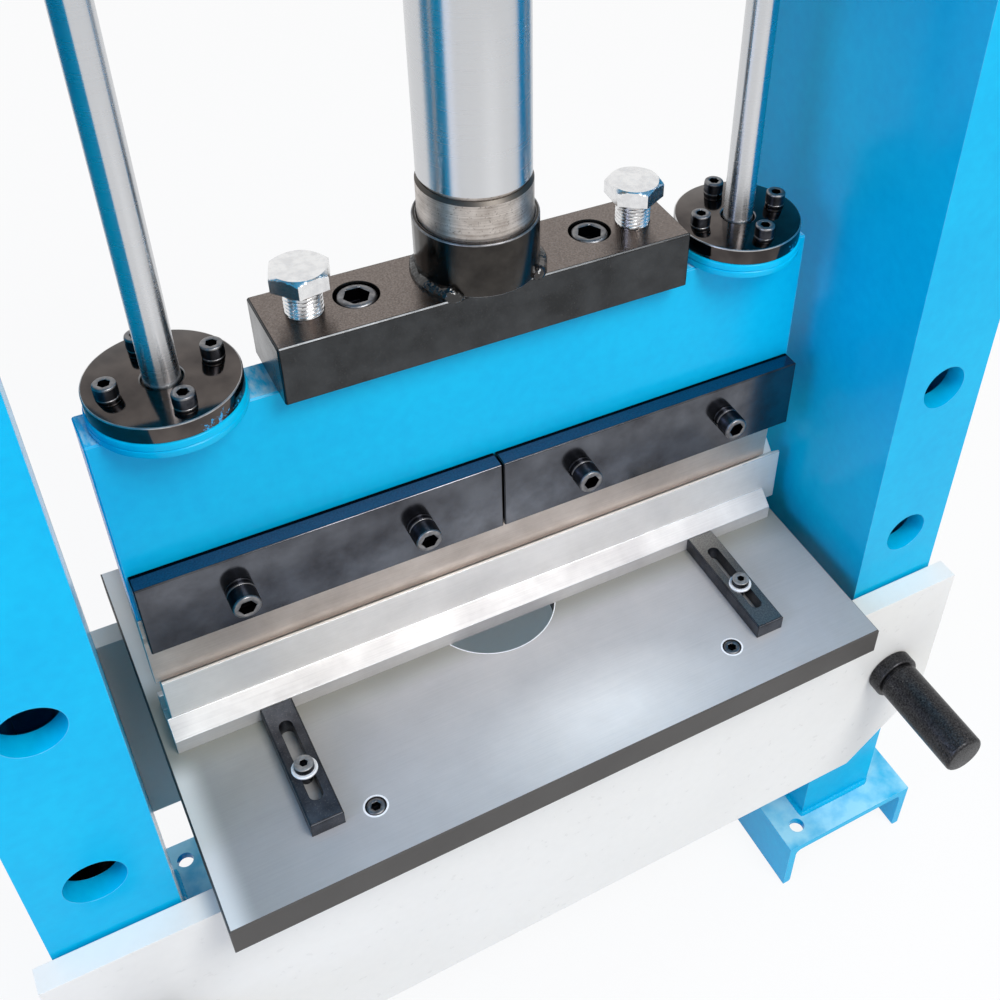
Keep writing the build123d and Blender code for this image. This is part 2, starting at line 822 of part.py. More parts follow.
def gauge_dial():
    r = gauge_d / 2 - gauge_wall
    shape = turned(
        (0, gauge_wall), (r, gauge_wall), (r, gauge_dial_depth), (spindle_d / 2, gauge_dial_depth),
        (spindle_d / 2, gauge_dial_depth + needle_hub_t), (0, gauge_dial_depth + needle_hub_t))
    return gauge_place * shape


def gauge_needle():
    # A tapering pointer on a hub that turns on the dial's spindle
    tip = needle_width / 4
    wide = needle_width / 2
    pointer = outline(
        (-wide, -needle_tail), (wide, -needle_tail), (tip, needle_length), (-tip, needle_length))
    hub_height = needle_hub_t - needle_gap
    hub = Pos(0, 0, hub_height / 2) * Cylinder(needle_hub_d / 2, hub_height)
    shape = extrude(pointer, amount=needle_t) + hub
    shape -= Cylinder(spindle_d / 2 + running_fit, 4 * needle_hub_t)
    return gauge_place * Pos(0, 0, gauge_dial_depth + needle_gap) * Rot(Z=gauge_zero - 90) * shape


def gauge_glass():
    r = gauge_d / 2 - gauge_wall
    return gauge_place * Pos(0, 0, gauge_depth - gauge_glass_t / 2) * Cylinder(r, gauge_glass_t)


# The pump stands on the bracket's shelf, its plunger and lever in the plane pump_x
shelf_top = bracket_z + bracket_t
tank_x0 = upright_out + bracket_t + tank_back_gap
bracket_shelf = bracket_t + tank_back_gap + tank_x + bracket_lip
pump_x = tank_x0 + tank_x / 2
tank_top = shelf_top + tank_z
lid_top = tank_top + lid_t
pump_block_top = lid_top + pump_block_z
pivot_y = plunger_y + lever_arm
pivot_z = pump_block_top + lever_rise
cross_pin_z = pivot_z + lever_arm * tan(radians(lever_angle))
fork_gap = plunger_eye_t + 2 * ear_gap
cheek_in = fork_gap / 2
cheek_out = cheek_in + lever_cheek_t
ear_in = cheek_out + ear_gap


def pump_bracket():
    # One plate bent to an L, welded to the outer side of the right upright
    x0, x1 = upright_out, upright_out + bracket_t
    path = make_face(Polyline(
        (x0, bracket_z), (x0 + bracket_shelf, bracket_z), (x0 + bracket_shelf, shelf_top), (x1, shelf_top),
        (x1, bracket_z + bracket_height), (x0, bracket_z + bracket_height), close=True))
    bend_out = [v for v in path.vertices() if abs(v.X - x0) < 0.01 and abs(v.Y - bracket_z) < 0.01]
    path = fillet(bend_out, bracket_bend_r)
    return extrude(Plane.XZ * path, amount=upright_depth / 2, both=True)


def oil_tank():
    body = Box(tank_x, tank_y, tank_z, align=(Align.CENTER, Align.CENTER, Align.MIN))
    body = fillet(body.edges().filter_by(Axis.Z), tank_corner_r)
    lid = Pos(0, 0, tank_z) * extrude(
        RectangleRounded(tank_x + 2 * lid_lap, tank_y + 2 * lid_lap, tank_corner_r), amount=lid_t)
    return Pos(pump_x, 0, shelf_top) * (body + lid)


def filler_cap():
    # The screw cap of the tank's filler, on the lid in front of the pump
    r = filler_d / 2
    shape = turned((0, 0), (r, 0), (r, filler_height - filler_edge), (r - filler_edge, filler_height),
                   (0, filler_height))
    return Pos(pump_x, -tank_y / 2 + filler_inset, lid_top) * shape


def pump_block():
    # The pump body, with two ears at its back that hold the lever's pivot
    y1 = pivot_y + ear_width / 2
    y0 = y1 - pump_block_y
    half = pump_block_x / 2
    shape = block(pump_x - half, pump_x + half, y0, y1, lid_top, pump_block_top)
    bore_floor = pump_block_top - plunger_bore_depth
    shape -= drill_z(pump_x, plunger_y, bore_floor, pump_block_top + 1, plunger_d + 2 * running_fit)
    ear = outline(
        (y1 - ear_width, pump_block_top), (y1, pump_block_top), (y1, pivot_z), (y1 - ear_width, pivot_z))
    ear += Pos(pivot_y, pivot_z) * Circle(ear_width / 2)
    for side in sides:
        x0 = ear_in if side > 0 else -ear_in - ear_t
        shape += Pos(pump_x + x0, 0, 0) * extrude(Plane.YZ * ear, amount=ear_t)
    shape -= Pos(pump_x, pivot_y, pivot_z) * Rot(Y=90) * Cylinder(pivot_d / 2, 4 * pump_block_x)
    return shape


def lever_pivot():
    length = 2 * (ear_in + ear_t)
    return Pos(pump_x, pivot_y, pivot_z) * Rot(Y=90) * Cylinder(pivot_d / 2, length)


def pump_plunger():
    # A round plunger, flatted to an eye on top, with the cross pin through it
    bottom = pump_block_top - plunger_bore_depth + plunger_lift
    place = Pos(pump_x, plunger_y, cross_pin_z)
    rod = drill_z(pump_x, plunger_y, bottom, cross_pin_z, plunger_d)
    flat = block(plunger_eye_t / 2, plunger_d, -plunger_d, plunger_d, -plunger_eye_d, plunger_eye_d)
    for side in sides:
        rod -= place * Rot(Z=0 if side > 0 else 180) * flat
    eye = place * Rot(Y=90) * Cylinder(plunger_eye_d / 2, plunger_eye_t)
    pin = place * Rot(Y=90) * Cylinder(cross_pin_d / 2, 2 * cheek_out)
    return rod + eye + pin


def lever_frame(shape):
    # Places what is drawn with the lever lying along -Y from its pivot
    return Pos(pump_x, pivot_y, pivot_z) * Rot(X=-lever_angle) * shape


def pump_lever():
    # Two cheeks on the pivot, slotted for the cross pin, joined by the socket
    reach = lever_arm + socket_start
    half = lever_cheek_height / 2
    cheek = outline((0, -half), (0, half), (-reach, half), (-reach, -half)) + Circle(half)
    cheek -= Circle(pivot_d / 2 + running_fit)
    slot_at = -lever_arm / (1 + tan(radians(lever_angle)) ** 2) ** -0.5
    slot = SlotCenterToCenter(lever_slot_run, cross_pin_d + 2 * lever_slot_room)
    cheek -= Pos(slot_at + lever_slot_run / 4, 0) * slot
    shape = Part()
    for side in sides:
        x0 = cheek_in if side > 0 else -cheek_out
        shape += Pos(x0, 0, 0) * extrude(Plane.YZ * cheek, amount=lever_cheek_t)
    tube = Pos(0, -reach - socket_length / 2, 0) * Rot(X=90) * Cylinder(socket_d / 2, socket_length)
    bridge = block(-cheek_out, cheek_out, -reach - lever_cheek_t, -reach, -half, half)
    shape = shape + tube + bridge
    end = -reach - socket_length
    shape -= Pos(0, end + socket_depth / 2, 0) * Rot(X=90) * Cylinder(handle_d / 2, socket_depth)
    return lever_frame(shape)


handle_start = lever_arm + socket_start + socket_length - socket_depth
handle_end = handle_start + handle_length


def pump_handle():
    outer = handle_d / 2
    inner = outer - handle_wall
    tube = turned((inner, handle_start), (outer, handle_start), (outer, handle_end), (inner, handle_end))
    return lever_frame(Rot(X=90) * tube)


def handle_grip():
    # A moulded sleeve over the end of the handle, closed and rounded
    r = grip_d / 2
    start = handle_end - grip_overlap
    end = start + grip_length
    round_end = r / 2
    shape = turned(
        (handle_d / 2, start), (r, start), (r, end - round_end), (r - round_end, end), (0, end),
        (0, handle_end), (handle_d / 2, handle_end))
    return lever_frame(Rot(X=90) * shape)


valve_axis_z = tank_top - valve_rise
valve_front = -tank_y / 2 - valve_y


def valve_body():
    body = Box(valve_x, valve_y, valve_z, align=(Align.CENTER, Align.MIN, Align.CENTER))
    shape = Pos(pump_x, valve_front, valve_axis_z) * body
    spindle_end = valve_front - valve_face_gap - valve_hub_t
    return shape + drill_y(pump_x, valve_axis_z, spindle_end, valve_front, valve_spindle_d)


def valve_handle():
    # A hub on the spindle, a flat arm upwards and a knob at its end
    hub = Cylinder(valve_hub_d / 2, valve_hub_t)
    arm = Pos(0, valve_arm / 2, 0) * Box(valve_arm_width, valve_arm, valve_hub_t / 2)
    knob = Pos(0, valve_arm, 0) * Sphere(valve_knob_d / 2)
    shape = hub + arm + knob
    shape -= Cylinder(valve_spindle_d / 2 + running_fit, 2 * valve_hub_t)
    mid_y = valve_front - valve_face_gap - valve_hub_t / 2
    return Pos(pump_x, mid_y, valve_axis_z) * Rot(X=90) * shape


def mirrored(shape):
    return mirror(shape, Plane.YZ)


def to_back(shape):
    return mirror(shape, Plane.XZ)


os.makedirs("parts", exist_ok=True)

save("upright_right", upright())
save("upright_left", mirrored(upright()))
save("feet", foot(), mirrored(foot()))
save("base_tie", base_tie())
save("crosshead_plates", crosshead_plate(), to_back(crosshead_plate()))
save("cylinder_seat", cylinder_seat())
save("crosshead_ribs", *[crosshead_rib(side * rib_x) for side in sides])
save("crosshead_fasteners", *crosshead_fasteners())
save("guide_bushes", *[guide_bush(side) for side in sides])
save("cylinder_barrel", cylinder_barrel())
save("cylinder_gland", cylinder_gland())
save("cylinder_cap", cylinder_cap())
save("ring_nut", ring_nut())
save("port_fittings", *port_fittings())
save("gauge_case", gauge_case())
save("gauge_dial", gauge_dial())
save("gauge_needle", gauge_needle())
save("gauge_glass", gauge_glass())
save("pump_bracket", pump_bracket())
save("oil_tank", oil_tank(), filler_cap())
save("pump_block", pump_block())
save("lever_pivot", lever_pivot())
save("pump_plunger", pump_plunger())
save("pump_lever", pump_lever())
save("pump_handle", pump_handle())
save("handle_grip", handle_grip())
save("valve_body", valve_body())
save("valve_handle", valve_handle())
save("bed_plate_front", bed_plate())
save("bed_plate_rear", to_back(bed_plate()))
save("bed_webs", *[bed_web(side * bed_web_x) for side in sides])
save("bed_pin_left", bed_pin(-pin_x))
save("bed_pin_right", bed_pin(pin_x))
save("bed_table", bed_table())
save("table_screws", *table_screws())
save("die_base", die_base())
save("v_die", v_die())
for side_name, x_side in (("left", -1), ("right", 1)):
    save(f"stop_bar_front_{side_name}", stop_bar(x_side * stop_x, -1))
    save(f"stop_bar_rear_{side_name}", stop_bar(x_side * stop_x, 1))
    save(f"front_clamp_{side_name}", clamp(x_side, -1, m12_d + 2 * m12_room))
    save(f"jack_bolt_{side_name}", jack_bolt(x_side))
save("stop_fasteners", *stop_fasteners())
save("beam", beam())
save("guide_bosses", *[guide_boss(side) for side in sides])
save("guide_flanges", *[guide_flange(side) for side in sides])
save("guide_rods", *[guide_rod(side) for side in sides])
save("flange_screws", *flange_screws())
save("rear_clamps", *[clamp(side, 1, m12_d) for side in sides])
save("clamp_screws", *clamp_screws())
save("punch", punch())
save("adapter_block", adapter_block())
save("block_screws", *block_screws())
save("ram_cup", ram_cup())
save("ram_nose", ram_nose())
save("ram", ram())
save("piston", piston())
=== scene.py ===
from math import cos, pi, radians, sin, sqrt, tan

import bmesh
import bpy
from mathutils import Matrix, Vector


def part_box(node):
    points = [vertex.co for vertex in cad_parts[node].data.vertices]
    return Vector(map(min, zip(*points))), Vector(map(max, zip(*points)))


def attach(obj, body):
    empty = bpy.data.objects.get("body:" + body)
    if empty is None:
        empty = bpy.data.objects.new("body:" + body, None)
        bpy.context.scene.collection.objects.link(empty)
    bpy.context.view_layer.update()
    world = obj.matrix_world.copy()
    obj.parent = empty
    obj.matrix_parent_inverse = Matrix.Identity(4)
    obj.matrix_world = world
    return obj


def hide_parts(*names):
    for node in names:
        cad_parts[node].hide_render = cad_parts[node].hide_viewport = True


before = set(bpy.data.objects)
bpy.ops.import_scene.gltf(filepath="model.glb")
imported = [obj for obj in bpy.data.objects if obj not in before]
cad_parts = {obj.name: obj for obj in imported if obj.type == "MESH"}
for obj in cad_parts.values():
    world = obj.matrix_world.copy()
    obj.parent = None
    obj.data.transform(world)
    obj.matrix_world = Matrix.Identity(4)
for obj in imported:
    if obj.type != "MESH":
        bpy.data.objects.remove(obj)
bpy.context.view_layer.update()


# The uprights: two boxes welded from steel plates, ground flush and bored for the bed
# pins. Sprayed with a thick coat of blue alkyd enamel, which gives a gloss with orange
# peel, slow drifts of tone and paler, thinner edges.
mm = 0.001


def linear(colour):
    """An sRGB hex colour as the linear one that shaders take."""
    channels = [int(colour[i:i + 2], 16) / 255 for i in (1, 3, 5)]
    return [c / 12.92 if c < 0.04045 else ((c + 0.055) / 1.055) ** 2.4 for c in channels] + [1]


def add(tree, kind, sockets=(), stops=(), **settings):
    """A shader node by its kind, or one that is there, with its settings, links, values and ramp stops."""
    node = tree.nodes.new("ShaderNode" + kind) if isinstance(kind, str) else kind
    for name, value in settings.items():
        setattr(node, name, value)
    for socket, value in dict(sockets).items():
        if isinstance(value, bpy.types.NodeSocket):
            tree.links.new(value, node.inputs[socket])
        else:
            node.inputs[socket].default_value = value
    for i, (position, colour) in enumerate(stops):
        ramp = node.color_ramp.elements
        element = ramp[i] if i < len(ramp) else ramp.new(position)
        element.position = position
        element.color = linear(colour)
    return node


def per(size):
    """The scale at which a pattern's features come out at a size in mm."""
    return 1 / (size * mm)


def blank_material(name):
    """A new material, its node tree, its shader and the place on the piece, which moves with the piece."""
    made = bpy.data.materials.new(name)
    made.use_nodes = True
    tree = made.node_tree
    place = add(tree, "TexCoord").outputs["Object"]
    return made, tree, tree.nodes["Principled BSDF"], place


def enamel(name, colour, deep, roughness, peel_size=2.4, peel=0.1):
    """Sprayed alkyd enamel: the tone drifts over a hand's width, and the skin has orange peel."""
    made, tree, shader, place = blank_material(name)
    drift_size, dust_size, peel_height = 110, 7, 0.12
    drift = add(tree, "TexNoise", {"Vector": place, "Scale": per(drift_size), "Detail": 4})
    dust = add(tree, "TexNoise", {"Vector": place, "Scale": per(dust_size), "Detail": 5})
    mottle = add(tree, "MixRGB", {"Fac": 0.4, "Color1": drift.outputs["Fac"], "Color2": dust.outputs["Fac"]})
    tone = add(tree, "ValToRGB", {"Fac": mottle.outputs["Color"]}, stops=[(0.36, deep), (0.64, colour)])
    gloss = add(tree, "MapRange", {"Value": dust.outputs["Fac"], "From Min": 0.3, "From Max": 0.7,
                                   "To Min": roughness - 0.03, "To Max": roughness + 0.05})
    skin = add(tree, "TexNoise", {"Vector": place, "Scale": per(peel_size), "Detail": 1})
    bump = add(tree, "Bump", {"Height": skin.outputs["Fac"], "Strength": peel, "Distance": peel_height * mm})
    add(tree, shader, {"Base Color": tone.outputs["Color"], "Roughness": gloss.outputs["Result"],
                       "Normal": bump.outputs["Normal"], "Specular IOR Level": 0.14})
    return made


def dress(name, finish, edge=0.0, wear_and_light=None, sharp=30):
    """Gives a CAD node its finish, and rounds its sharp edges to a width in mm, with a finish of their own
    where one is given: wear, and on the cup's rim a painted highlight.
    """
    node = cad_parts[name]
    node.data.materials.clear()
    node.data.materials.append(finish)
    if edge:
        joined = node.modifiers.new("joined_corners", "WELD")
        joined.merge_threshold = 0.01 * mm
        whole = node.modifiers.new("whole_faces", "DECIMATE")
        whole.decimate_type = "DISSOLVE"
        whole.angle_limit = radians(0.5)
        soft = node.modifiers.new("rounded_edges", "BEVEL")
        soft.limit_method = "ANGLE"
        soft.angle_limit = radians(sharp)
        soft.width = edge * mm
        soft.segments = 3
        soft.harden_normals = True
        if wear_and_light:
            node.data.materials.append(wear_and_light)
            soft.material = 1


def span(name):
    """A CAD node's lowest and highest corners, in mm."""
    low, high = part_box(name)
    return low / mm, high / mm


blue, deep_blue = "#05C0EA", "#02B4E3"
blue_enamel = enamel("blue_enamel", blue, deep_blue, 0.22)
blue_edge = enamel("blue_enamel_edge", "#6CCDF0", "#1DB0E4", 0.25)
for side in ("left", "right"):
    dress(f"upright_{side}", blue_enamel, edge=1.3, wear_and_light=blue_edge, sharp=50)


# The feet and the base tie: short channels laid web up, welded under and between the
# uprights with a hand-held torch, so each seam is a bead of small overlapping ripples.
# They are sprayed with the frame, and what looks up is painted paler as painted light.
sides = (-1, 1)


def looks_up(tree, least=0.85):
    """A factor that is 1 on faces that look up, by the least upward part of their normal."""
    normal = add(tree, "SeparateXYZ", {"Vector": add(tree, "NewGeometry").outputs["Normal"]})
    return add(tree, "Math", {0: normal.outputs["Z"], 1: least}, operation="GREATER_THAN").outputs["Value"]


def lay_over(tree, amount, colour, blend="MIX"):
    """Lays a colour over the one that a material has so far, by an amount from 0 to 1."""
    shader = tree.nodes["Principled BSDF"]
    below = shader.inputs["Base Color"].links[0].from_socket
    mixed = add(tree, "MixRGB", {"Fac": amount, "Color1": below, "Color2": colour}, blend_type=blend)
    add(tree, shader, {"Base Color": mixed.outputs["Color"]})


def scuffed_enamel(name, pale_tone, stroke, sparse):
    """The frame's enamel, paled on its upper faces in slanted strokes of a size in mm: scuffs on the beam,
    painted light on the feet.
    """
    made = enamel(name, blue, deep_blue, 0.22)
    tree = made.node_tree
    strokes = add(tree, "Mapping", {"Vector": add(tree, "TexCoord").outputs["Object"],
                                    "Scale": [per(size) for size in stroke],
                                    "Rotation": (0, 0, radians(25))})
    stroke_noise = add(tree, "TexNoise", {"Vector": strokes.outputs["Vector"], "Scale": 1, "Detail": 6})
    wear_and_light = add(tree, "MapRange", {"Value": stroke_noise.outputs["Fac"],
                                  "From Min": sparse, "From Max": sparse + 0.24})
    amount = add(tree, "Math", {0: wear_and_light.outputs["Result"], 1: looks_up(tree)}, operation="MULTIPLY")
    lay_over(tree, amount.outputs["Value"], linear(pale_tone))
    return made


def weld_bead(bm, path, radius, ripple=3.4, lumps=0.0, thin=1.0):
    """Adds a rippled or lumpy bead along a path of points, in mm, half sunk in the corner that it fills. It
    grows from a thin share of its radius at the start."""
    rings_in_ripple, corners = 4, 12
    sway_size, lump_size, small_lump_size = 17, 4.3, 2.6
    path = [Vector(point) for point in path]
    middles = []
    for start, end in zip(path, path[1:]):
        steps = max(1, round((end - start).length / ripple * rings_in_ripple))
        middles += [start.lerp(end, i / steps) for i in range(steps)]
    middles.append(path[-1])
    reach = [0.0]
    for start, end in zip(middles, middles[1:]):
        reach.append(reach[-1] + (end - start).length)
    across = (middles[1] - middles[0]).orthogonal()
    turns = [2 * pi * k / corners for k in range(corners)]
    rings = []
    for i, (middle, where) in enumerate(zip(middles, reach)):
        along = (middles[min(i + 1, len(middles) - 1)] - middles[max(i - 1, 0)]).normalized()
        across = (across - along * across.dot(along)).normalized()
        lift = along.cross(across)
        taper = min(1, 0.3 + 0.7 * min(where, reach[-1] - where) / radius)
        full = thin + (1 - thin) * where / reach[-1]
        rippled = 0.88 + 0.12 * abs(sin(pi * where / ripple))
        lumpy = lumps * (sin(where / lump_size) + sin(where / small_lump_size + 1))
        unsteady = 0.06 * sin(where / sway_size) + lumpy
        swell = full * taper * radius * (rippled + unsteady)
        rings.append([bm.verts.new(middle + swell * (cos(a) * across + sin(a) * lift)) for a in turns])
    for ring, following in zip(rings, rings[1:]):
        for k in range(corners):
            bm.faces.new((ring[k - 1], ring[k], following[k], following[k - 1]))
    bm.faces.new(reversed(rings[0]))
    bm.faces.new(rings[-1])


def piece(name, bm, finish, body, stands_for=None, sharp=35):
    """Makes a mesh in mm, with one finish or a list, a piece on its body, in place of a CAD node."""
    bmesh.ops.remove_doubles(bm, verts=bm.verts, dist=0.001)
    bmesh.ops.recalc_face_normals(bm, faces=bm.faces)
    mesh = bpy.data.meshes.new(name)
    bm.to_mesh(mesh)
    bm.free()
    mesh.transform(Matrix.Scale(mm, 4))
    mesh.shade_smooth()
    mesh.set_sharp_from_angle(angle=radians(sharp))
    for coat in finish if isinstance(finish, list) else [finish]:
        mesh.materials.append(coat)
    made = bpy.data.objects.new(name, mesh)
    bpy.context.scene.collection.objects.link(made)
    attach(made, body)
    if stands_for:
        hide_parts(stands_for)


# The feet's upper faces are painted paler in strokes, as painted light.
lit_top_enamel = scuffed_enamel("blue_enamel_lit_top", "#AEEBFB", (40, 40, 40), 0.3)
dress("feet", lit_top_enamel, edge=1.4, wear_and_light=blue_edge, sharp=50)
dress("base_tie", blue_enamel, edge=1.2, wear_and_light=blue_edge, sharp=50)
upright_low, upright_high = span("upright_right")
tie_low, tie_high = span("base_tie")
foot_weld, tie_weld = 3.6, 3.0
seams = bmesh.new()
for x in sides:
    near, far = x * upright_low.x, x * upright_high.x
    front, back, seat = upright_low.y, upright_high.y, upright_low.z
    weld_bead(seams, [(far, front, seat), (near, front, seat), (near, back, seat), (far, back, seat),
                      (far, front, seat)], foot_weld)
    weld_bead(seams, [(near, tie_low.y, tie_low.z), (near, tie_low.y, tie_high.z),
                      (near, tie_high.y, tie_high.z), (near, tie_high.y, tie_low.z)], tie_weld)
piece("frame_welds", seams, blue_enamel, "frame", sharp=60)


# The bed: two flame-cut plates outside the uprights, with two hidden webs between.
# Filled, rubbed down and sprayed with cream-white enamel, which is smoother than the
# blue and soft at every edge.
white_enamel = enamel("white_enamel", "#F3F0E8", "#EFECE4", 0.3, peel_size=9, peel=0.03)
for plate in ("bed_plate_front", "bed_plate_rear"):
    dress(plate, white_enamel, edge=1.2, sharp=50)
dress("bed_webs", white_enamel, edge=1.0, sharp=50)


# The bed pins: turned bars that slide through the bed plates and uprights and carry
# the bed. Mild steel, turned, shot blasted and blackened in hot oil, so a fine grain
# shows under a deep satin black.
def black_oxide(name, sheen, shade, roughness, stain_size=30, speck=0.0, grain=0.1, top=None, metallic=1.0):
    """Oiled black oxide: a dark film that mirrors its surroundings, uneven where oil has dried on it, over a
    fine grit that is drawn coarser to show. Top is the light and dark tones of the faces that look up."""
    made, tree, shader, place = blank_material(name)
    grit_size = 1.1
    stain = add(tree, "TexNoise", {"Vector": place, "Scale": per(stain_size), "Detail": 6, "Roughness": 0.6})
    tone = add(tree, "ValToRGB", {"Fac": stain.outputs["Fac"]}, stops=[(0.32, shade), (0.68, sheen)])
    grit = add(tree, "TexNoise", {"Vector": place, "Scale": per(grit_size), "Detail": 3})
    specks = add(tree, "MapRange", {"Value": grit.outputs["Fac"], "From Min": 0.58, "From Max": 0.74,
                                    "To Min": 0.0, "To Max": speck})
    dulled = add(tree, "MapRange", {"Value": stain.outputs["Fac"], "From Min": 0.3, "From Max": 0.7,
                                    "To Min": roughness + 0.06, "To Max": roughness - 0.04})
    bump = add(tree, "Bump", {"Height": grit.outputs["Fac"], "Strength": grain, "Distance": grain * 0.6 * mm})
    add(tree, shader, {"Base Color": tone.outputs["Color"], "Roughness": dulled.outputs["Result"],
                       "Metallic": metallic, "Normal": bump.outputs["Normal"]})
    lay_over(tree, specks.outputs["Result"], linear("#B9B4AF"))
    if top:
        light, dark = top
        mottled = add(tree, "ValToRGB", {"Fac": grit.outputs["Fac"]}, stops=[(0.36, dark), (0.66, light)])
        lay_over(tree, looks_up(tree), mottled.outputs["Color"])
    return made


def at(x, y, z):
    """A place in mm."""
    return Matrix.Translation((x, y, z))


def turned(bm, profile, place, steps=64):
    """Adds a turned form from (radius, height) points in mm, where a radius may depend on the angle. A third
    value is the number of the finish on the band that ends at the point."""
    last = None
    for radius, height, *coat in profile:
        ring = []
        for i in range(steps if radius else 1):
            angle = 2 * pi * i / steps
            reach = radius(angle) if callable(radius) else radius
            ring.append(bm.verts.new(place @ Vector((reach * cos(angle), reach * sin(angle), height))))
        for i in range(steps if last else 0):
            n = (i + 1) % steps
            corners = (last[i % len(last)], last[n % len(last)], ring[n % len(ring)], ring[i % len(ring)])
            bm.faces.new(dict.fromkeys(corners)).material_index = coat[0] if coat else 0
        last = ring


def rounded(corner_radius, corner_height, size, steps=4):
    """Points that round an outer upper corner of a turned profile with a quarter circle."""
    turns = [pi / 2 * i / steps for i in range(steps + 1)]
    return [(corner_radius - size * (1 - cos(a)), corner_height - size * (1 - sin(a))) for a in turns]


pin_black = black_oxide("black_oxide_blasted", "#4A4A4C", "#1D1D1F", 0.36, stain_size=1.6, speck=0.14,
                        grain=0.5)
pin_d, pin_lead, pin_end_round = 35.0, 3.0, 2.8
collar_d, collar_t, collar_edge, collar_round = 41.0, 12.0, 1.0, 1.6
undercut, undercut_width, undercut_end = 1.2, 2.0, 2.8
to_front = Matrix.Rotation(pi / 2, 4, "X")
collar_back = -span("bed_plate_front")[0].y
collar_front = collar_back + collar_t
for side in ("left", "right"):
    low, high = span(f"bed_pin_{side}")
    pin_back, pin_front = -high.y, -low.y
    profile = [(0, pin_back), (pin_d / 2 - pin_lead, pin_back), (pin_d / 2, pin_back + pin_lead),
               (pin_d / 2, collar_back), (collar_d / 2 - collar_edge, collar_back),
               (collar_d / 2, collar_back + collar_edge)]
    profile += rounded(collar_d / 2, collar_front, collar_round)
    profile += [(pin_d / 2 - undercut, collar_front), (pin_d / 2 - undercut, collar_front + undercut_width),
                (pin_d / 2, collar_front + undercut_end)]
    profile += rounded(pin_d / 2, pin_front, pin_end_round) + [(0, pin_front)]
    bm = bmesh.new()
    turned(bm, profile, at((low.x + high.x) / 2, 0, (low.z + high.z) / 2) @ to_front, steps=96)
    piece(f"pin_{side}", bm, pin_black, f"bed_pin_{side}", f"bed_pin_{side}")


# The table: a thick steel plate, surface ground on top, screwed to the bed plates. Its colour
# carries a painted sheen, brightest before and behind the die's middle, a painted reflection
# along the left end, and painted shade with some oily dirt along the die's foot; flame-cut edges are dark.
def ground_steel(name, bright, dull, roughness, grain, cloud_size=60, metallic=0.75, streak=0.3):
    """Surface-ground steel: fine lines from the wheel and a cloudy sheen. Grain is the lines' size in mm on
    each axis, drawn coarser to show."""
    made, tree, shader, place = blank_material(name)
    cloud = add(tree, "TexNoise", {"Vector": place, "Scale": per(cloud_size), "Detail": 7, "Roughness": 0.62})
    wheel = add(tree, "Mapping", {"Vector": place, "Scale": [per(size) for size in grain]})
    lines = add(tree, "TexNoise", {"Vector": wheel.outputs["Vector"], "Scale": 1, "Detail": 4,
                                   "Roughness": 0.7})
    blend = add(tree, "MixRGB", {"Fac": streak, "Color1": cloud.outputs["Fac"],
                                 "Color2": lines.outputs["Fac"]})
    tone = add(tree, "ValToRGB", {"Fac": blend.outputs["Color"]}, stops=[(0.34, dull), (0.64, bright)])
    sheen = add(tree, "MapRange", {"Value": blend.outputs["Color"], "From Min": 0.35, "From Max": 0.65,
                                   "To Min": roughness + 0.08, "To Max": roughness - 0.05})
    bump = add(tree, "Bump", {"Height": lines.outputs["Fac"], "Strength": 0.12, "Distance": 0.05 * mm})
    add(tree, shader, {"Base Color": tone.outputs["Color"], "Roughness": sheen.outputs["Result"],
                       "Metallic": metallic, "Normal": bump.outputs["Normal"]})
    return made


along_table = (45, 0.9, 45)
table_steel = ground_steel("ground_steel_table", "#FFFFFF", "#ECEDEE", 0.46, along_table, metallic=0.2,
                           streak=0.35)
tree = table_steel.node_tree
axes = add(tree, "SeparateXYZ", {"Vector": add(tree, "TexCoord").outputs["Object"]})
outward = add(tree, "Math", {0: axes.outputs["Y"]}, operation="ABSOLUTE")
folded = add(tree, "CombineXYZ", {"X": axes.outputs["X"], "Y": outward.outputs["Value"]})
# A painted sheen: the colour is brightest before and behind the die's middle and darker towards the ends.
bright_x, bright_y, fade_x, fade_y = 30, 130, 270, 150
spread = add(tree, "Mapping", {"Vector": folded.outputs["Vector"],
                               "Location": (-bright_x / fade_x, -bright_y / fade_y, 0),
                               "Scale": (per(fade_x), per(fade_y), 1)})
away = add(tree, "VectorMath", {0: spread.outputs["Vector"]}, operation="LENGTH")
painted_sheen = add(tree, "ValToRGB", {"Fac": away.outputs["Value"]},
             stops=[(0.08, "#FBF6EF"), (0.37, "#D0CDCA"), (0.66, "#BFBDBC"), (1.0, "#A2A19E")])
lay_over(tree, 1.0, painted_sheen.outputs["Color"], blend="MULTIPLY")
left_end, die_foot = span("bed_table")[0].x, span("die_base")[1].y
# A painted reflection lightens the left end; painted shade with some oily dirt darkens the die's foot.
reflection_edge, reflection_width, die_shade_width = 2, 20, 26
left_edge_reflection = (axes.outputs["X"], left_end + reflection_edge, left_end + reflection_width, "#E6E4DF")
die_foot_shade_and_dirt = (outward.outputs["Value"], die_foot, die_foot + die_shade_width, "#949289")
for where, full, gone, tone in (left_edge_reflection, die_foot_shade_and_dirt):
    strip = add(tree, "MapRange", {"Value": where, "From Min": full * mm, "From Max": gone * mm,
                                   "To Min": 1.0, "To Max": 0.0}, interpolation_type="SMOOTHSTEP")
    lay_over(tree, strip.outputs["Result"], linear(tone))
flame_cut = add(tree, "Math", {0: 1.0, 1: looks_up(tree)}, operation="SUBTRACT")
lay_over(tree, flame_cut.outputs["Value"], linear("#45423F"))
dress("bed_table", table_steel)


# The table screws: M8 cap screws in counterbores, two in the edge of each bed plate.
# Alloy steel, cold headed with a knurled rim and a hexagon socket, then blackened; the socket
# is painted darker as painted shade, and white rings round the mouths of the counterbores and
# of the hole between them are painted highlights.
def hexagon(flats):
    """The reach of a hexagon by angle, from its size across flats."""
    return lambda angle: flats / 2 / cos((angle % (pi / 3)) - pi / 6)


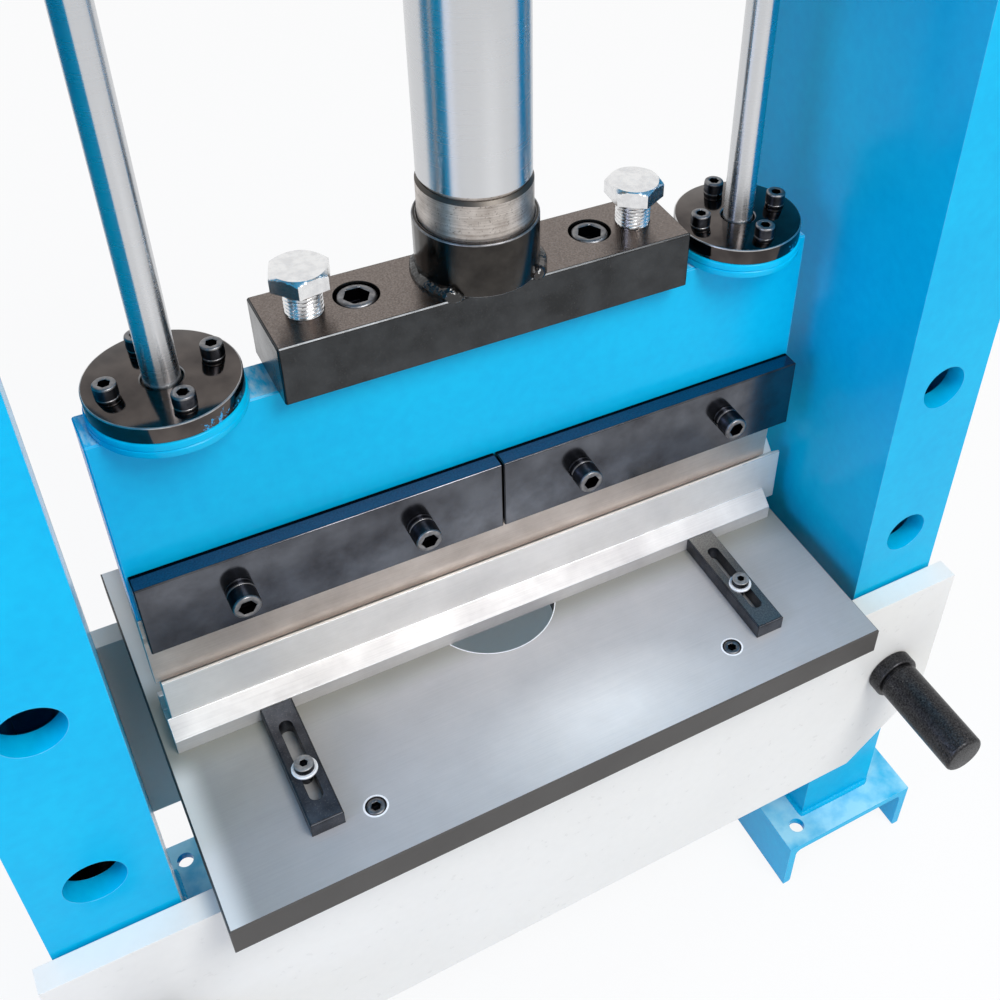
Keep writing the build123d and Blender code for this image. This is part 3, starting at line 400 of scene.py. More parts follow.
def cap_screw(bm, head_d, head, key, shank_d, shank, place):
    """Adds a socket cap screw that stands on its seat, its head knurled. Its finishes are the screw's, its
    worn crown's and its socket's, which is painted darker as painted shade."""
    r, chamfer, mouth = head_d / 2, 0.09 * head, key / 2 * 1.2
    teeth, tooth = 54, 0.012 * head_d

    def knurled(angle):
        return r - tooth * (1 + cos(angle * teeth)) / 2

    crown = r - 0.2 * chamfer
    profile = [(0, -shank), (shank_d / 2, -shank), (shank_d / 2, 0), (r - 0.6 * chamfer, 0),
               (r, 0.6 * chamfer), (knurled, 0.9 * chamfer), (knurled, head - 2.2 * chamfer),
               (crown, head - 1.8 * chamfer)]
    profile += [(*point, 1) for point in rounded(crown, head, 1.5 * chamfer, steps=3)]
    profile += [(mouth, head, 1), (hexagon(key), head - 0.35 * (mouth - key / 2), 1),
                (hexagon(key), 0.45 * head, 2), (hexagon(key * 0.98), 0.44 * head, 2), (0, 0.36 * head, 2)]
    turned(bm, profile, place, steps=2 * teeth)


def bright_rim(bm, hole_d, rim_d, place, steps):
    """Adds a white ring round the mouth of a hole, a painted highlight, a hair above the face so that it
    shows.
    """
    hole, rim, rise = hole_d / 2, rim_d / 2, 0.03
    section = [(hole, -0.6), (hole + 0.1, rise), (rim, rise), (rim + 0.2, -0.1), (hole, -0.6)]
    turned(bm, section, place, steps)


screw_black = black_oxide("black_oxide_screws", "#47484D", "#2A2B30", 0.3, stain_size=6)
crown_grey = black_oxide("black_oxide_crown", "#8E8D8D", "#66666A", 0.36, stain_size=4)
# The sockets are painted near-black as painted shade.
socket_shade = black_oxide("black_oxide_socket_shade", "#17171A", "#0B0B0D", 0.5)
screw_finish = [screw_black, crown_grey, socket_shade]
painted_rim_highlight = ground_steel("painted_highlight_mouth", "#FFFFFF", "#F0F0EF", 0.5, along_table, metallic=0.0)
m8_d, m8_head_d, m8_head, m8_key, m8_length = 8.0, 13.0, 8.0, 6.0, 30.0
counterbore_d, counterbore_rim_d = 14.0, 16.6
hole_d, hole_rim_d = 96.0, 97.4
table_top = span("bed_table")[1].z
high = span("table_screws")[1]
screws = bmesh.new()
rims = bmesh.new()
for x in sides:
    for y in sides:
        mouth = at(x * (high.x - m8_head_d / 2), y * (high.y - m8_head_d / 2), table_top)
        cap_screw(screws, m8_head_d, m8_head, m8_key, m8_d, m8_length, mouth @ at(0, 0, -m8_head))
        bright_rim(rims, counterbore_d, counterbore_rim_d, mouth, steps=64)
bright_rim(rims, hole_d, hole_rim_d, at(0, 0, table_top), steps=128)
piece("table_cap_screws", screws, screw_finish, "frame", "table_screws")
piece("counterbore_highlight_rims", rims, painted_rim_highlight, "frame")


# The die: a V bar standing in the groove of a base rail. Tool steel, hardened and
# ground all over, the brightest metal here, with lines along its length.
along_die = (70, 0.7, 0.7)
die_steel = ground_steel("ground_tool_steel", "#F4F0EB", "#E4E0DB", 0.44, along_die, cloud_size=35,
                         metallic=0.4)
base_steel = ground_steel("ground_steel_rail", "#D8D4D0", "#C0BBB8", 0.5, along_die, cloud_size=35,
                          metallic=0.3, streak=0.4)
bright_edge = ground_steel("ground_steel_edge", "#E4E4E4", "#C4C5C7", 0.3, along_table)
dress("v_die", die_steel, edge=0.3, wear_and_light=bright_edge)
dress("die_base", base_steel, edge=0.3, wear_and_light=bright_edge)


# The stops: four slotted bars that butt against the die base. Sawn flat bar, milled
# and blackened, the right pair lighter grey on top. A low-headed cap screw on a
# dull zinc-plated washer clamps each one through its slot, into the table.
bar_black = black_oxide("black_oxide_bars", "#575A61", "#3A3C42", 0.42, stain_size=14, speck=0.2)
bar_light_top = black_oxide("black_oxide_bars_light_top", "#575A61", "#3A3C42", 0.42, stain_size=14, speck=0.2,
                       top=("#8A8884", "#6C6B69"))
rubbed_edge = black_oxide("black_oxide_rubbed", "#403F3E", "#0C0C0D", 0.5, stain_size=34)
for row in ("front", "rear"):
    dress(f"stop_bar_{row}_left", bar_black, edge=0.3, wear_and_light=rubbed_edge)
    dress(f"stop_bar_{row}_right", bar_light_top, edge=0.3, wear_and_light=rubbed_edge)


def zinc_plate(name, bright, dull, roughness, metallic=1.0):
    """Zinc plate: pale metal, a little cloudy."""
    made, tree, shader, place = blank_material(name)
    cloud_size = 5
    cloud = add(tree, "TexNoise", {"Vector": place, "Scale": per(cloud_size), "Detail": 5})
    tone = add(tree, "ValToRGB", {"Fac": cloud.outputs["Fac"]}, stops=[(0.35, dull), (0.6, bright)])
    haze = add(tree, "MapRange", {"Value": cloud.outputs["Fac"], "From Min": 0.3, "From Max": 0.7,
                                  "To Min": roughness + 0.03, "To Max": roughness - 0.03})
    add(tree, shader, {"Base Color": tone.outputs["Color"], "Roughness": haze.outputs["Result"],
                       "Metallic": metallic})
    return made


dull_zinc = zinc_plate("zinc_plate_dulled", "#FFFFFF", "#F0F0EF", 0.5, metallic=0.25)
crown_rubbed = black_oxide("black_oxide_crown_rubbed", "#A9A7A4", "#7B7A79", 0.3, stain_size=4, metallic=0.4)
stop_finish = [screw_black, crown_rubbed, socket_shade, dull_zinc]
zinc_coat = stop_finish.index(dull_zinc)
washer_d, washer_t, washer_gap = 17.0, 1.6, 0.04
m8_low_head, m8_low_key = 5.0, 5.0
low, high = span("stop_fasteners")
stop_top = span("stop_bar_front_left")[1].z
ring = [(m8_d / 2, washer_gap), (washer_d / 2, washer_gap), (washer_d / 2, washer_t - 0.5),
        (washer_d / 2 - 0.5, washer_t), (m8_d / 2 + 0.6, washer_t), (m8_d / 2, washer_t - 0.4),
        (m8_d / 2, washer_gap)]
clamps = bmesh.new()
for x in sides:
    for y in sides:
        seat = at(x * (high.x - washer_d / 2), y * (high.y - washer_d / 2), stop_top)
        turned(clamps, [(*point, zinc_coat) for point in ring], seat)
        cap_screw(clamps, m8_head_d, m8_low_head, m8_low_key, m8_d, stop_top - low.z + washer_t,
                  seat @ at(0, 0, washer_t))
piece("stop_clamp_screws", clamps, stop_finish, "frame", "stop_fasteners")


# The crosshead: front and rear plates bolted across the uprights, a thick seat plate
# and two ribs welded between them. Plate steel in the frame's blue enamel.
for name in ("crosshead_plates", "cylinder_seat", "crosshead_ribs"):
    dress(name, blue_enamel, edge=1.2, wear_and_light=blue_edge, sharp=50)
seat_low, seat_high = span("cylinder_seat")
rib_low, rib_high = span("crosshead_ribs")
rib_t, rib_weld, rib_ripple, weld_stop = 12.0, 3.2, 4.0, 2.0
paths = []
for y in sides:
    paths.append([(seat_low.x, y * seat_high.y, seat_high.z), (seat_high.x, y * seat_high.y, seat_high.z)])
    for x in sides:
        for face in (rib_high.x, rib_high.x - rib_t):
            corner = (x * face, y * rib_high.y, rib_low.z)
            paths.append([corner, (x * face, y * rib_high.y, rib_high.z - weld_stop)])
            paths.append([(x * face, 0, rib_low.z), corner])
seams = bmesh.new()
for path in paths:
    weld_bead(seams, path, rib_weld, rib_ripple)
piece("crosshead_welds", seams, blue_enamel, "frame", sharp=60)


# The crosshead's bolts: M20 hexagon bolts from outside, into nuts that were welded inside
# the uprights before they were closed. Forged steel, bright zinc plated, with the usual
# 30 degree chamfer on head and nut.
def hex_head(flats, low_level, height, chamfer_both=False):
    """Rings of a hexagon head or nut, its corners cut back by a 30 degree chamfer."""
    full = hexagon(flats)
    top = low_level + height
    slope = 1 / tan(radians(30))

    def cut(level):
        near = min(top - level, level - low_level) if chamfer_both else top - level
        return lambda angle: min(full(angle), 0.475 * flats + near * slope)

    drop, steps = 0.1 * flats, 6
    levels = [top - drop * i / steps for i in range(steps, -1, -1)]
    if chamfer_both:
        levels = [low_level + drop * i / steps for i in range(steps + 1)] + levels
    else:
        levels = [low_level] + levels
    return [(cut(level), level) for level in levels]


zinc = zinc_plate("zinc_plate", "#E9E9E9", "#DCDCDD", 0.24)
m20_d, m20_flats, m20_head, m20_nut, m20_point = 20.0, 30.0, 12.5, 18.0, 1.5
bolt_margin, bolt_rows, upright_plate = 35.0, 3, 16.0
plate_low, plate_high = span("crosshead_plates")
bolt_x = span("crosshead_fasteners")[1].x - m20_flats / 2 / cos(pi / 6)
row_step = (plate_high.z - plate_low.z - 2 * bolt_margin) / (bolt_rows - 1)
wall = upright_high.y - upright_plate
tip = wall - m20_nut - plate_high.y
bolt = [(0, tip), (m20_d / 2 - m20_point, tip), (m20_d / 2, tip + m20_point), (m20_d / 2, 0)]
bolt += hex_head(m20_flats, 0, m20_head) + [(0, m20_head)]
nut = [(m20_d / 2, -m20_nut), *hex_head(m20_flats, -m20_nut, m20_nut, chamfer_both=True),
       (m20_d / 2, 0), (m20_d / 2, -m20_nut)]
bolts = bmesh.new()
for x in sides:
    for row in range(bolt_rows):
        z = plate_low.z + bolt_margin + row * row_step
        for y in sides:
            facing = Matrix.Rotation(-y * pi / 2, 4, "X")
            turned(bolts, bolt, at(x * bolt_x, y * plate_high.y, z) @ facing, steps=72)
            turned(bolts, nut, at(x * bolt_x, y * wall, z) @ facing, steps=72)
piece("crosshead_bolts", bolts, zinc, "frame", "crosshead_fasteners")


# The guide bushes and the cylinder's gland: cast tin bronze, turned and bored, that
# the rods and the ram slide in. Fresh from the lathe they are a warm, fine-lined gold.
def turned_metal(name, bright, dull, roughness, feed_size=0.6, pit=0.0, shaded_ledge=None):
    """Turned metal: lines round the axis from the tool's feed, drawn coarser to show, and small pits.
    The shaded ledge tone darkens faces that slope up, as painted shade."""
    made, tree, shader, place = blank_material(name)
    round_size, cloud_size, pit_size = 90, 9, 1.3
    feed = add(tree, "Mapping", {"Vector": place,
                                 "Scale": (per(round_size), per(round_size), per(feed_size))})
    lines = add(tree, "TexNoise", {"Vector": feed.outputs["Vector"], "Scale": 1, "Detail": 3})
    cloud = add(tree, "TexNoise", {"Vector": place, "Scale": per(cloud_size), "Detail": 6})
    blend = add(tree, "MixRGB", {"Fac": 0.55, "Color1": lines.outputs["Fac"], "Color2": cloud.outputs["Fac"]})
    tone = add(tree, "ValToRGB", {"Fac": blend.outputs["Color"]}, stops=[(0.34, dull), (0.62, bright)])
    specks = add(tree, "TexNoise", {"Vector": place, "Scale": per(pit_size), "Detail": 2})
    pits = add(tree, "MapRange", {"Value": specks.outputs["Fac"], "From Min": 0.6, "From Max": 0.72,
                                  "To Min": 0.0, "To Max": pit})
    bump = add(tree, "Bump", {"Height": blend.outputs["Color"], "Strength": 0.15, "Distance": 0.06 * mm})
    add(tree, shader, {"Base Color": tone.outputs["Color"], "Roughness": roughness, "Metallic": 1.0,
                       "Normal": bump.outputs["Normal"]})
    lay_over(tree, pits.outputs["Result"], linear("#4C4642"))
    if shaded_ledge:
        lay_over(tree, looks_up(tree, least=0.4), linear(shaded_ledge))
    return made


bronze = turned_metal("tin_bronze", "#D0A86A", "#A9834C", 0.3)
dress("guide_bushes", bronze, edge=0.8)
dress("cylinder_gland", bronze, edge=0.6)


# The cylinder: a honed steel tube with a welded flange, a screwed cap and a slotted
# ring nut that pulls it up against the seat. Its outside is sprayed with the frame, and
# the screwed-in oil fittings are zinc plated.
for name in ("cylinder_barrel", "cylinder_cap", "ring_nut"):
    dress(name, blue_enamel, edge=1.0, wear_and_light=blue_edge, sharp=40)
dress("port_fittings", zinc, edge=0.5)


# The ram and its nose: a hard-chromed bar, ground and polished, with a plain turned
# steel nose that has been handled and stored, so it is stained and finely pitted. The
# piston inside is of the same turned steel.
def hard_chrome(name, colour, roughness):
    """Hard chrome, ground and polished: faint lines left round it draw what it mirrors out along it. They
    are drawn coarser to show."""
    made, tree, shader, place = blank_material(name)
    round_size, line_size = 80, 1.2
    polish = add(tree, "Mapping", {"Vector": place,
                                   "Scale": (per(round_size), per(round_size), per(line_size))})
    lines = add(tree, "TexNoise", {"Vector": polish.outputs["Vector"], "Scale": 1, "Detail": 3})
    haze = add(tree, "MapRange", {"Value": lines.outputs["Fac"], "From Min": 0.3, "From Max": 0.7,
                                  "To Min": roughness - 0.01, "To Max": roughness + 0.02})
    along = add(tree, "CombineXYZ", {"Z": 1.0})
    add(tree, shader, {"Base Color": linear(colour), "Roughness": haze.outputs["Result"], "Metallic": 1.0,
                       "Anisotropic": 0.95, "Tangent": along.outputs["Vector"]})
    return made


chrome = hard_chrome("hard_chrome", "#CDCED0", 0.26)
# The nose's upward-sloping faces are darkened as painted shade in its groove.
nose_steel = turned_metal("turned_steel_nose", "#CDC5BE", "#968C84", 0.4, pit=0.6, shaded_ledge="#55504B")
dress("ram", chrome)
dress("ram_nose", nose_steel)
dress("piston", nose_steel)


# The ram's cup: a short tube welded on the adapter block, where the nose sits.
# Blackened steel; each weld is brushed by hand with black gloss that runs thick over
# its ripples.
def black_gloss(name, colour, brown, roughness):
    """Brushed black gloss over a hot, browned weld: a hard wet shine on a lumpy skin."""
    made, tree, shader, place = blank_material(name)
    heat_size, lump_size, lump_height = 18, 5, 2
    heat = add(tree, "TexNoise", {"Vector": place, "Scale": per(heat_size), "Detail": 4})
    tone = add(tree, "ValToRGB", {"Fac": heat.outputs["Fac"]}, stops=[(0.45, colour), (0.72, brown)])
    lumps = add(tree, "TexNoise", {"Vector": place, "Scale": per(lump_size), "Detail": 2})
    bump = add(tree, "Bump", {"Height": lumps.outputs["Fac"], "Strength": 0.6, "Distance": lump_height * mm})
    add(tree, shader, {"Base Color": tone.outputs["Color"], "Roughness": roughness,
                       "Normal": bump.outputs["Normal"], "IOR": 1.55})
    return made


cup_black = black_oxide("black_oxide_cup", "#45423F", "#2C2A29", 0.2, stain_size=22)
weld_black = black_gloss("black_gloss_weld", "#121110", "#33251B", 0.12)
# The cup's rounded rim takes the screws' worn grey, here as a painted highlight.
dress("ram_cup", cup_black, edge=0.9, wear_and_light=crown_grey)
cup_r = span("ram_cup")[1].x
block_low, block_high = span("adapter_block")
left_weld, right_weld, weld_points = 7.0, 5.6, 48
beads = bmesh.new()
for x, cup_weld in ((-1, left_weld), (1, right_weld)):
    path = []
    for i in range(weld_points + 1):
        y = block_high.y + (block_low.y - block_high.y) * i / weld_points
        path.append((x * sqrt(cup_r ** 2 - y ** 2), y, block_high.z))
    weld_bead(beads, path, cup_weld, ripple=16, lumps=0.05, thin=0.35)
piece("cup_welds", beads, weld_black, "press_beam", sharp=70)


# The adapter block: a milled bar on top of the beam that takes the ram's push.
# Blackened, then wiped and rusted a little in the store, so it is speckled; its top is painted
# lighter and browner than its black sides, a painted reflection of the room above over a little rust.
# The top tones are a painted reflection of the room above, over a little rust.
block_black = black_oxide("black_oxide_block", "#484A4C", "#353637", 0.24, stain_size=26, speck=0.06,
                          top=("#857C77", "#6B625D"))
dress("adapter_block", block_black, edge=0.3, wear_and_light=rubbed_edge)


# The block's screws: two M16 cap screws in counterbores that hold it on the beam.
# Blackened alloy steel, their crowns worn grey by the key.
m16_d, m16_head_d, m16_head, m16_key = 16.0, 24.0, 16.0, 14.0
low, high = span("block_screws")
seat = high.z - m16_head
screws = bmesh.new()
for x in sides:
    place = at(x * (high.x - m16_head_d / 2), 0, seat)
    cap_screw(screws, m16_head_d, m16_head, m16_key, m16_d, seat - low.z, place)
piece("block_cap_screws", screws, screw_finish, "press_beam", "block_screws")


# The jack bolts: two M22 hexagon bolts screwed down through the block to level the
# beam. Bright zinc plate, with a chamfered head and a rolled thread.
def thread(major_d, pitch, low_level, high_level):
    """Points of a rolled metric thread, its ridge winding once round in each pitch."""
    depth, points_in_pitch = 0.61 * pitch, 8

    def ridge(level):
        def reach(angle):
            phase = (level / pitch - angle / (2 * pi)) % 1
            return major_d / 2 - depth * min(1, max(0, abs(2 * phase - 1) * 1.3 - 0.15))
        return reach

    count = int((high_level - low_level) / pitch * points_in_pitch)
    levels = [low_level + (high_level - low_level) * i / count for i in range(count + 1)]
    return [(ridge(level), level) for level in levels]


m22_d, m22_pitch, m22_flats, m22_head, m22_face = 22.0, 2.5, 32.0, 11.0, 0.5
m22_point, m22_point_h, thread_end = 2.0, 1.5, -2.2
neck, neck_start, neck_end, neck_fillet = 1.6, -1.6, -0.6, 1.0
for side, turn in (("left", 10.0), ("right", 27.0)):
    low, high = span(f"jack_bolt_{side}")
    seat = high.z - m22_head
    tip = low.z - seat
    profile = [(0, tip), (m22_d / 2 - m22_point, tip)]
    profile += thread(m22_d, m22_pitch, tip + m22_point_h, thread_end)
    profile += [(m22_d / 2 - neck, neck_start), (m22_d / 2 - neck, neck_end), (m22_d / 2 - neck_fillet, 0),
                (0.46 * m22_flats, 0), (0.47 * m22_flats, m22_face)]
    profile += hex_head(m22_flats, m22_face, m22_head - m22_face) + [(0, m22_head)]
    bm = bmesh.new()
    turned(bm, profile, at((low.x + high.x) / 2, 0, seat) @ Matrix.Rotation(radians(turn), 4, "Z"), steps=96)
    piece(f"jack_{side}", bm, zinc, f"jack_bolt_{side}", f"jack_bolt_{side}", sharp=28)


# The beam: one thick plate that carries the punch, with a turned and grooved boss welded
# on at each end for the guide rods. Sprayed blue with the frame; its top is scuffed pale
# by spanners.
beam_enamel = scuffed_enamel("blue_enamel_scuffed", "#A6D8EC", (3, 9, 9), 0.38)
dress("beam", beam_enamel, edge=0.5, wear_and_light=blue_edge)
boss_low, boss_high = span("guide_bosses")
boss_r = (boss_high.y - boss_low.y) / 2
boss_h = boss_high.z - boss_low.z
guide_x = boss_high.x - boss_r
rod_d = 20.0
groove, boss_round = 0.7, 1.6
profile = [(rod_d / 2, 0), (boss_r - 1, 0), (boss_r - 0.3, 0.4), (boss_r, 1.2), (boss_r, 0.44 * boss_h),
           (boss_r - groove, 0.5 * boss_h), (boss_r - 0.1, 0.56 * boss_h)]
profile += rounded(boss_r - 0.1, boss_h, boss_round) + [(rod_d / 2, boss_h), (rod_d / 2, 0)]
bosses = bmesh.new()
for x in sides:
    turned(bosses, profile, at(x * guide_x, 0, boss_low.z), steps=128)
piece("beam_bosses", bosses, blue_enamel, "press_beam", "guide_bosses")


# The guide flanges: turned discs screwed on the bosses to hold the rods upright.
# Blackened and oiled to a brown-black mirror with faint lathe rings; the top edge and the mouth
# round the rod are painted bright as a painted highlight, and both caught a few runs of blue paint at their
# foot.
def flange_black(name, sheen, shade, roughness, paint, drips):
    """Black oxide on faced discs: rings from the lathe, drawn coarser to show, and blue paint where it ran on
    a rim. Drips are places and sizes in mm."""
    made, tree, shader, place = blank_material(name)
    ring_size, stain_size, ragged_size = 0.8, 24, 3
    raggedness, fullness = 7, 3.6
    mirrored = add(tree, "VectorMath", {0: place}, operation="ABSOLUTE")
    flat = add(tree, "VectorMath", {0: mirrored.outputs["Vector"], 1: (1, 1, 0)}, operation="MULTIPLY")
    radius = add(tree, "VectorMath", {0: flat.outputs["Vector"], 1: (guide_x * mm, 0, 0)},
                 operation="DISTANCE")
    spread = add(tree, "Math", {0: radius.outputs["Value"], 1: per(ring_size)}, operation="MULTIPLY")
    rings = add(tree, "TexNoise", {"W": spread.outputs["Value"], "Scale": 1, "Detail": 3},
                noise_dimensions="1D")
    stain = add(tree, "TexNoise", {"Vector": place, "Scale": per(stain_size), "Detail": 6})
    tone = add(tree, "ValToRGB", {"Fac": stain.outputs["Fac"]}, stops=[(0.34, shade), (0.66, sheen)])
    ragged = add(tree, "TexNoise", {"Vector": place, "Scale": per(ragged_size), "Detail": 8,
                                    "Roughness": 0.7})
    painted = 0.0
    for spot, size in drips:
        away = add(tree, "VectorMath", {0: place, 1: [v * mm for v in spot]}, operation="DISTANCE")
        rough = add(tree, "Math", {0: ragged.outputs["Fac"], 1: raggedness * size * mm,
                                   2: away.outputs["Value"]}, operation="MULTIPLY_ADD")
        inside = add(tree, "Math", {0: rough.outputs["Value"], 1: fullness * size * mm},
                     operation="LESS_THAN")
        either = add(tree, "Math", {0: inside.outputs["Value"], 1: painted}, operation="MAXIMUM")
        painted = either.outputs["Value"]
    metal = add(tree, "Math", {0: 1.0, 1: painted}, operation="SUBTRACT")
    bump = add(tree, "Bump", {"Height": rings.outputs["Fac"], "Strength": 0.08, "Distance": 0.03 * mm})
    add(tree, shader, {"Base Color": tone.outputs["Color"], "Metallic": metal.outputs["Value"],
                       "Roughness": roughness, "Normal": bump.outputs["Normal"]})
    lay_over(tree, painted, linear(paint))
    return made


flange_low, flange_high = span("guide_flanges")
flange_r = (flange_high.y - flange_low.y) / 2
flange_h = flange_high.z - flange_low.z
drip_rise = 2
drips = []
for x, angle, size in ((1, -62, 7.0), (1, -20, 6.0), (-1, -74, 5.0), (-1, -60, 6.0), (-1, -40, 5.0)):
    drip_x, drip_y = x * guide_x + flange_r * cos(radians(angle)), flange_r * sin(radians(angle))
    drips.append(((drip_x, drip_y, flange_low.z + drip_rise), size))
flange_steel = flange_black("black_oxide_flange", "#5C5653", "#3F3B3A", 0.1, "#1C9CD4", drips)
rim_highlight = black_oxide("black_oxide_rim_highlight", "#C8C6C4", "#98979A", 0.32, stain_size=9)
recess_r, recess = 11.5, 6.0
profile = [(rod_d / 2, 0), (flange_r - 0.5, 0), (flange_r, 0.5), (flange_r, flange_h - 0.8),
           (flange_r - 0.25, flange_h - 0.25, 1), (flange_r - 0.8, flange_h, 1),
           (recess_r + 0.6, flange_h), (recess_r, flange_h - 0.6, 1), (recess_r, flange_h - recess),
           (rod_d / 2, flange_h - recess), (rod_d / 2, 0)]
flanges = bmesh.new()
for x in sides:
    turned(flanges, profile, at(x * guide_x, 0, flange_low.z), steps=160)
piece("rod_flanges", flanges, [flange_steel, rim_highlight], "press_beam", "guide_flanges")


# The flange screws: four M8 cap screws round each rod, on split spring washers.
# Black as they come, with a painted highlight in bright metal round the washers' upper edge.
def spring_washer(bm, bore_d, outer_d, height, place):
    """Adds a split ring that stands on its seat, black below, with a painted highlight along its upper edge.
    """
    split, steps = 1.5, 60
    inner, outer, edge, highlight_band = bore_d / 2, outer_d / 2, 0.2, 0.45 * height
    section = [(inner, 0, 0), (outer - edge, 0, 0), (outer, edge, 0), (outer, height - highlight_band, 0),
               (outer, height - edge, 1), (outer - edge, height, 1), (inner, height, 1)]
    rings = []
    for i in range(steps + 1):
        angle = -pi + split / outer_d + (2 * pi - 2 * split / outer_d) * i / steps
        corners = [place @ Vector((r * cos(angle), r * sin(angle), z)) for r, z, coat in section]
        rings.append([bm.verts.new(corner) for corner in corners])
    for ring, following in zip(rings, rings[1:]):
        for k, (r, z, coat) in enumerate(section):
            bm.faces.new((ring[k - 1], ring[k], following[k], following[k - 1])).material_index = coat
    bm.faces.new(rings[0])
    bm.faces.new(rings[-1])


screw_circle = 60.0
m8_spring_d, m8_spring_t = 12.7, 2.0
screws = bmesh.new()
for x, start in ((-1, 9.0), (1, 1.0)):
    for quarter in range(4):
        turn = Matrix.Rotation(radians(start + 90 * quarter), 4, "Z")
        place = at(x * guide_x, 0, flange_high.z) @ turn @ at(screw_circle / 2, 0, 0)
        spring_washer(screws, m8_d, m8_spring_d, m8_spring_t, place)
        cap_screw(screws, m8_head_d, m8_head, m8_key, m8_d, m8_spring_t, place @ at(0, 0, m8_spring_t))
piece("flange_cap_screws", screws, screw_finish, "press_beam", "flange_screws")


# The guide rods: centreless-ground bars with hard chrome, fixed in the flanges and
# sliding in the crosshead's bushes.
dress("guide_rods", chrome)


# The clamps: two front and two rear plates that grip the punch's head under the beam.
# Milled bar, blackened to a smooth dark grey that mirrors the screws in front of it; its top
# is tinted blue as a painted reflection of the beam, and a black line against it is painted shadow in the
# joint.
# The top tones are bluer: a painted reflection of the beam.
clamp_black = black_oxide("black_oxide_clamps", "#63666D", "#404146", 0.14, stain_size=34,
                          top=("#62667A", "#525668"))
# A black band within a few mm of the beam's face: painted shadow in the joint.
joint_shadow_width = 3.2
joint_shadow_line = span("beam")[1].y + joint_shadow_width
tree = clamp_black.node_tree
axes = add(tree, "SeparateXYZ", {"Vector": add(tree, "TexCoord").outputs["Object"]})
depth = add(tree, "Math", {0: axes.outputs["Y"]}, operation="ABSOLUTE")
in_joint_shadow = add(tree, "Math", {0: depth.outputs["Value"], 1: joint_shadow_line * mm}, operation="LESS_THAN")
lay_over(tree, in_joint_shadow.outputs["Value"], linear("#0B0C10"))
for name in ("front_clamp_left", "front_clamp_right", "rear_clamps"):
    dress(name, clamp_black, edge=0.25, wear_and_light=rubbed_edge)


# The clamp screws: four M12 cap screws, on spring washers, through the front clamps and
# the beam into the rear clamps. Alloy steel, blackened, their crowns worn by the key.
m12_d, m12_head_d, m12_head, m12_key = 12.0, 18.0, 12.0, 10.0
m12_spring_d, m12_spring_t = 18.1, 2.5
clamp_pitch, clamp_count = 118.0, 4
low, high = span("clamp_screws")
clamp_face = span("front_clamp_left")[0].y
screws = bmesh.new()
for i in range(clamp_count):
    place = at((i - (clamp_count - 1) / 2) * clamp_pitch, clamp_face, (low.z + high.z) / 2) @ to_front
    spring_washer(screws, m12_d, m12_spring_d, m12_spring_t, place)
    cap_screw(screws, m12_head_d, m12_head, m12_key, m12_d, high.y - clamp_face + m12_spring_t,
              place @ at(0, 0, m12_spring_t))
piece("clamp_cap_screws", screws, screw_finish, "press_beam", "clamp_screws")


# The punch: a long ground blade of tool steel, softer in colour than the die, with
# lines along its length.
punch_steel = ground_steel("ground_steel_punch", "#D5CAC1", "#B7ABA2", 0.44, along_die, cloud_size=40)
dress("punch", punch_steel, edge=0.3, wear_and_light=bright_edge)


# The pressure gauge: a blackened steel case, a white dial with plain numbers, a black
# needle and a flat glass behind a turned and chromed bezel.
case_black = black_oxide("black_oxide_case", "#55565A", "#3B3C40", 0.35)
dress("gauge_case", case_black, edge=0.8)


def plain(name, colour, roughness, mottle_size=3.0):
    """A painted or moulded surface, with a faint mottle so that it isn't flat."""
    made, tree, shader, place = blank_material(name)
    mottle = add(tree, "TexNoise", {"Vector": place, "Scale": per(mottle_size), "Detail": 3})
    gloss = add(tree, "MapRange", {"Value": mottle.outputs["Fac"],
                                   "To Min": roughness - 0.08, "To Max": roughness + 0.08})
    bump = add(tree, "Bump", {"Height": mottle.outputs["Fac"], "Strength": 0.1, "Distance": 0.1 * mm})
    add(tree, shader, {"Base Color": linear(colour), "Roughness": gloss.outputs["Result"],
                       "Normal": bump.outputs["Normal"]})
    return made


dial_white = plain("white_lacquer", "#F4F3EE", 0.4)
mark_black = plain("black_printing_ink", "#1B1B1D", 0.5)
dress("gauge_dial", dial_white)
dress("gauge_needle", mark_black)
case_wall, dial_depth = 4.0, 22.0
case_low, case_high = span("gauge_case")
case_r = (case_high.x - case_low.x) / 2
dial_r = case_r - case_wall
dial_y = case_high.y - dial_depth
to_dial = at((case_low.x + case_high.x) / 2, dial_y, (case_low.z + case_high.z) / 2) @ to_front
ink_t, ink_rise, mark_edge = 0.1, 0.05, 3.0
mark_zero, mark_sweep, mark_count, number_step, half_step = 225.0, 270.0, 50, 10, 5
marks = bmesh.new()
for i in range(mark_count + 1):
    length, width = 3.5, 0.5
    if i % half_step == 0:
        length, width = 5.0, 0.8
    if i % number_step == 0:
        length, width = 7.0, 1.3
    turn = Matrix.Rotation(radians(mark_zero - mark_sweep * i / mark_count), 4, "Z")
    place = to_dial @ turn @ at(dial_r - mark_edge - length / 2, 0, ink_rise)
    bmesh.ops.create_cube(marks, size=1, matrix=place @ Matrix.Diagonal((length, width, ink_t, 1)))
number_size, number_r, number_rise = 8.0, dial_r - 16, 0.06
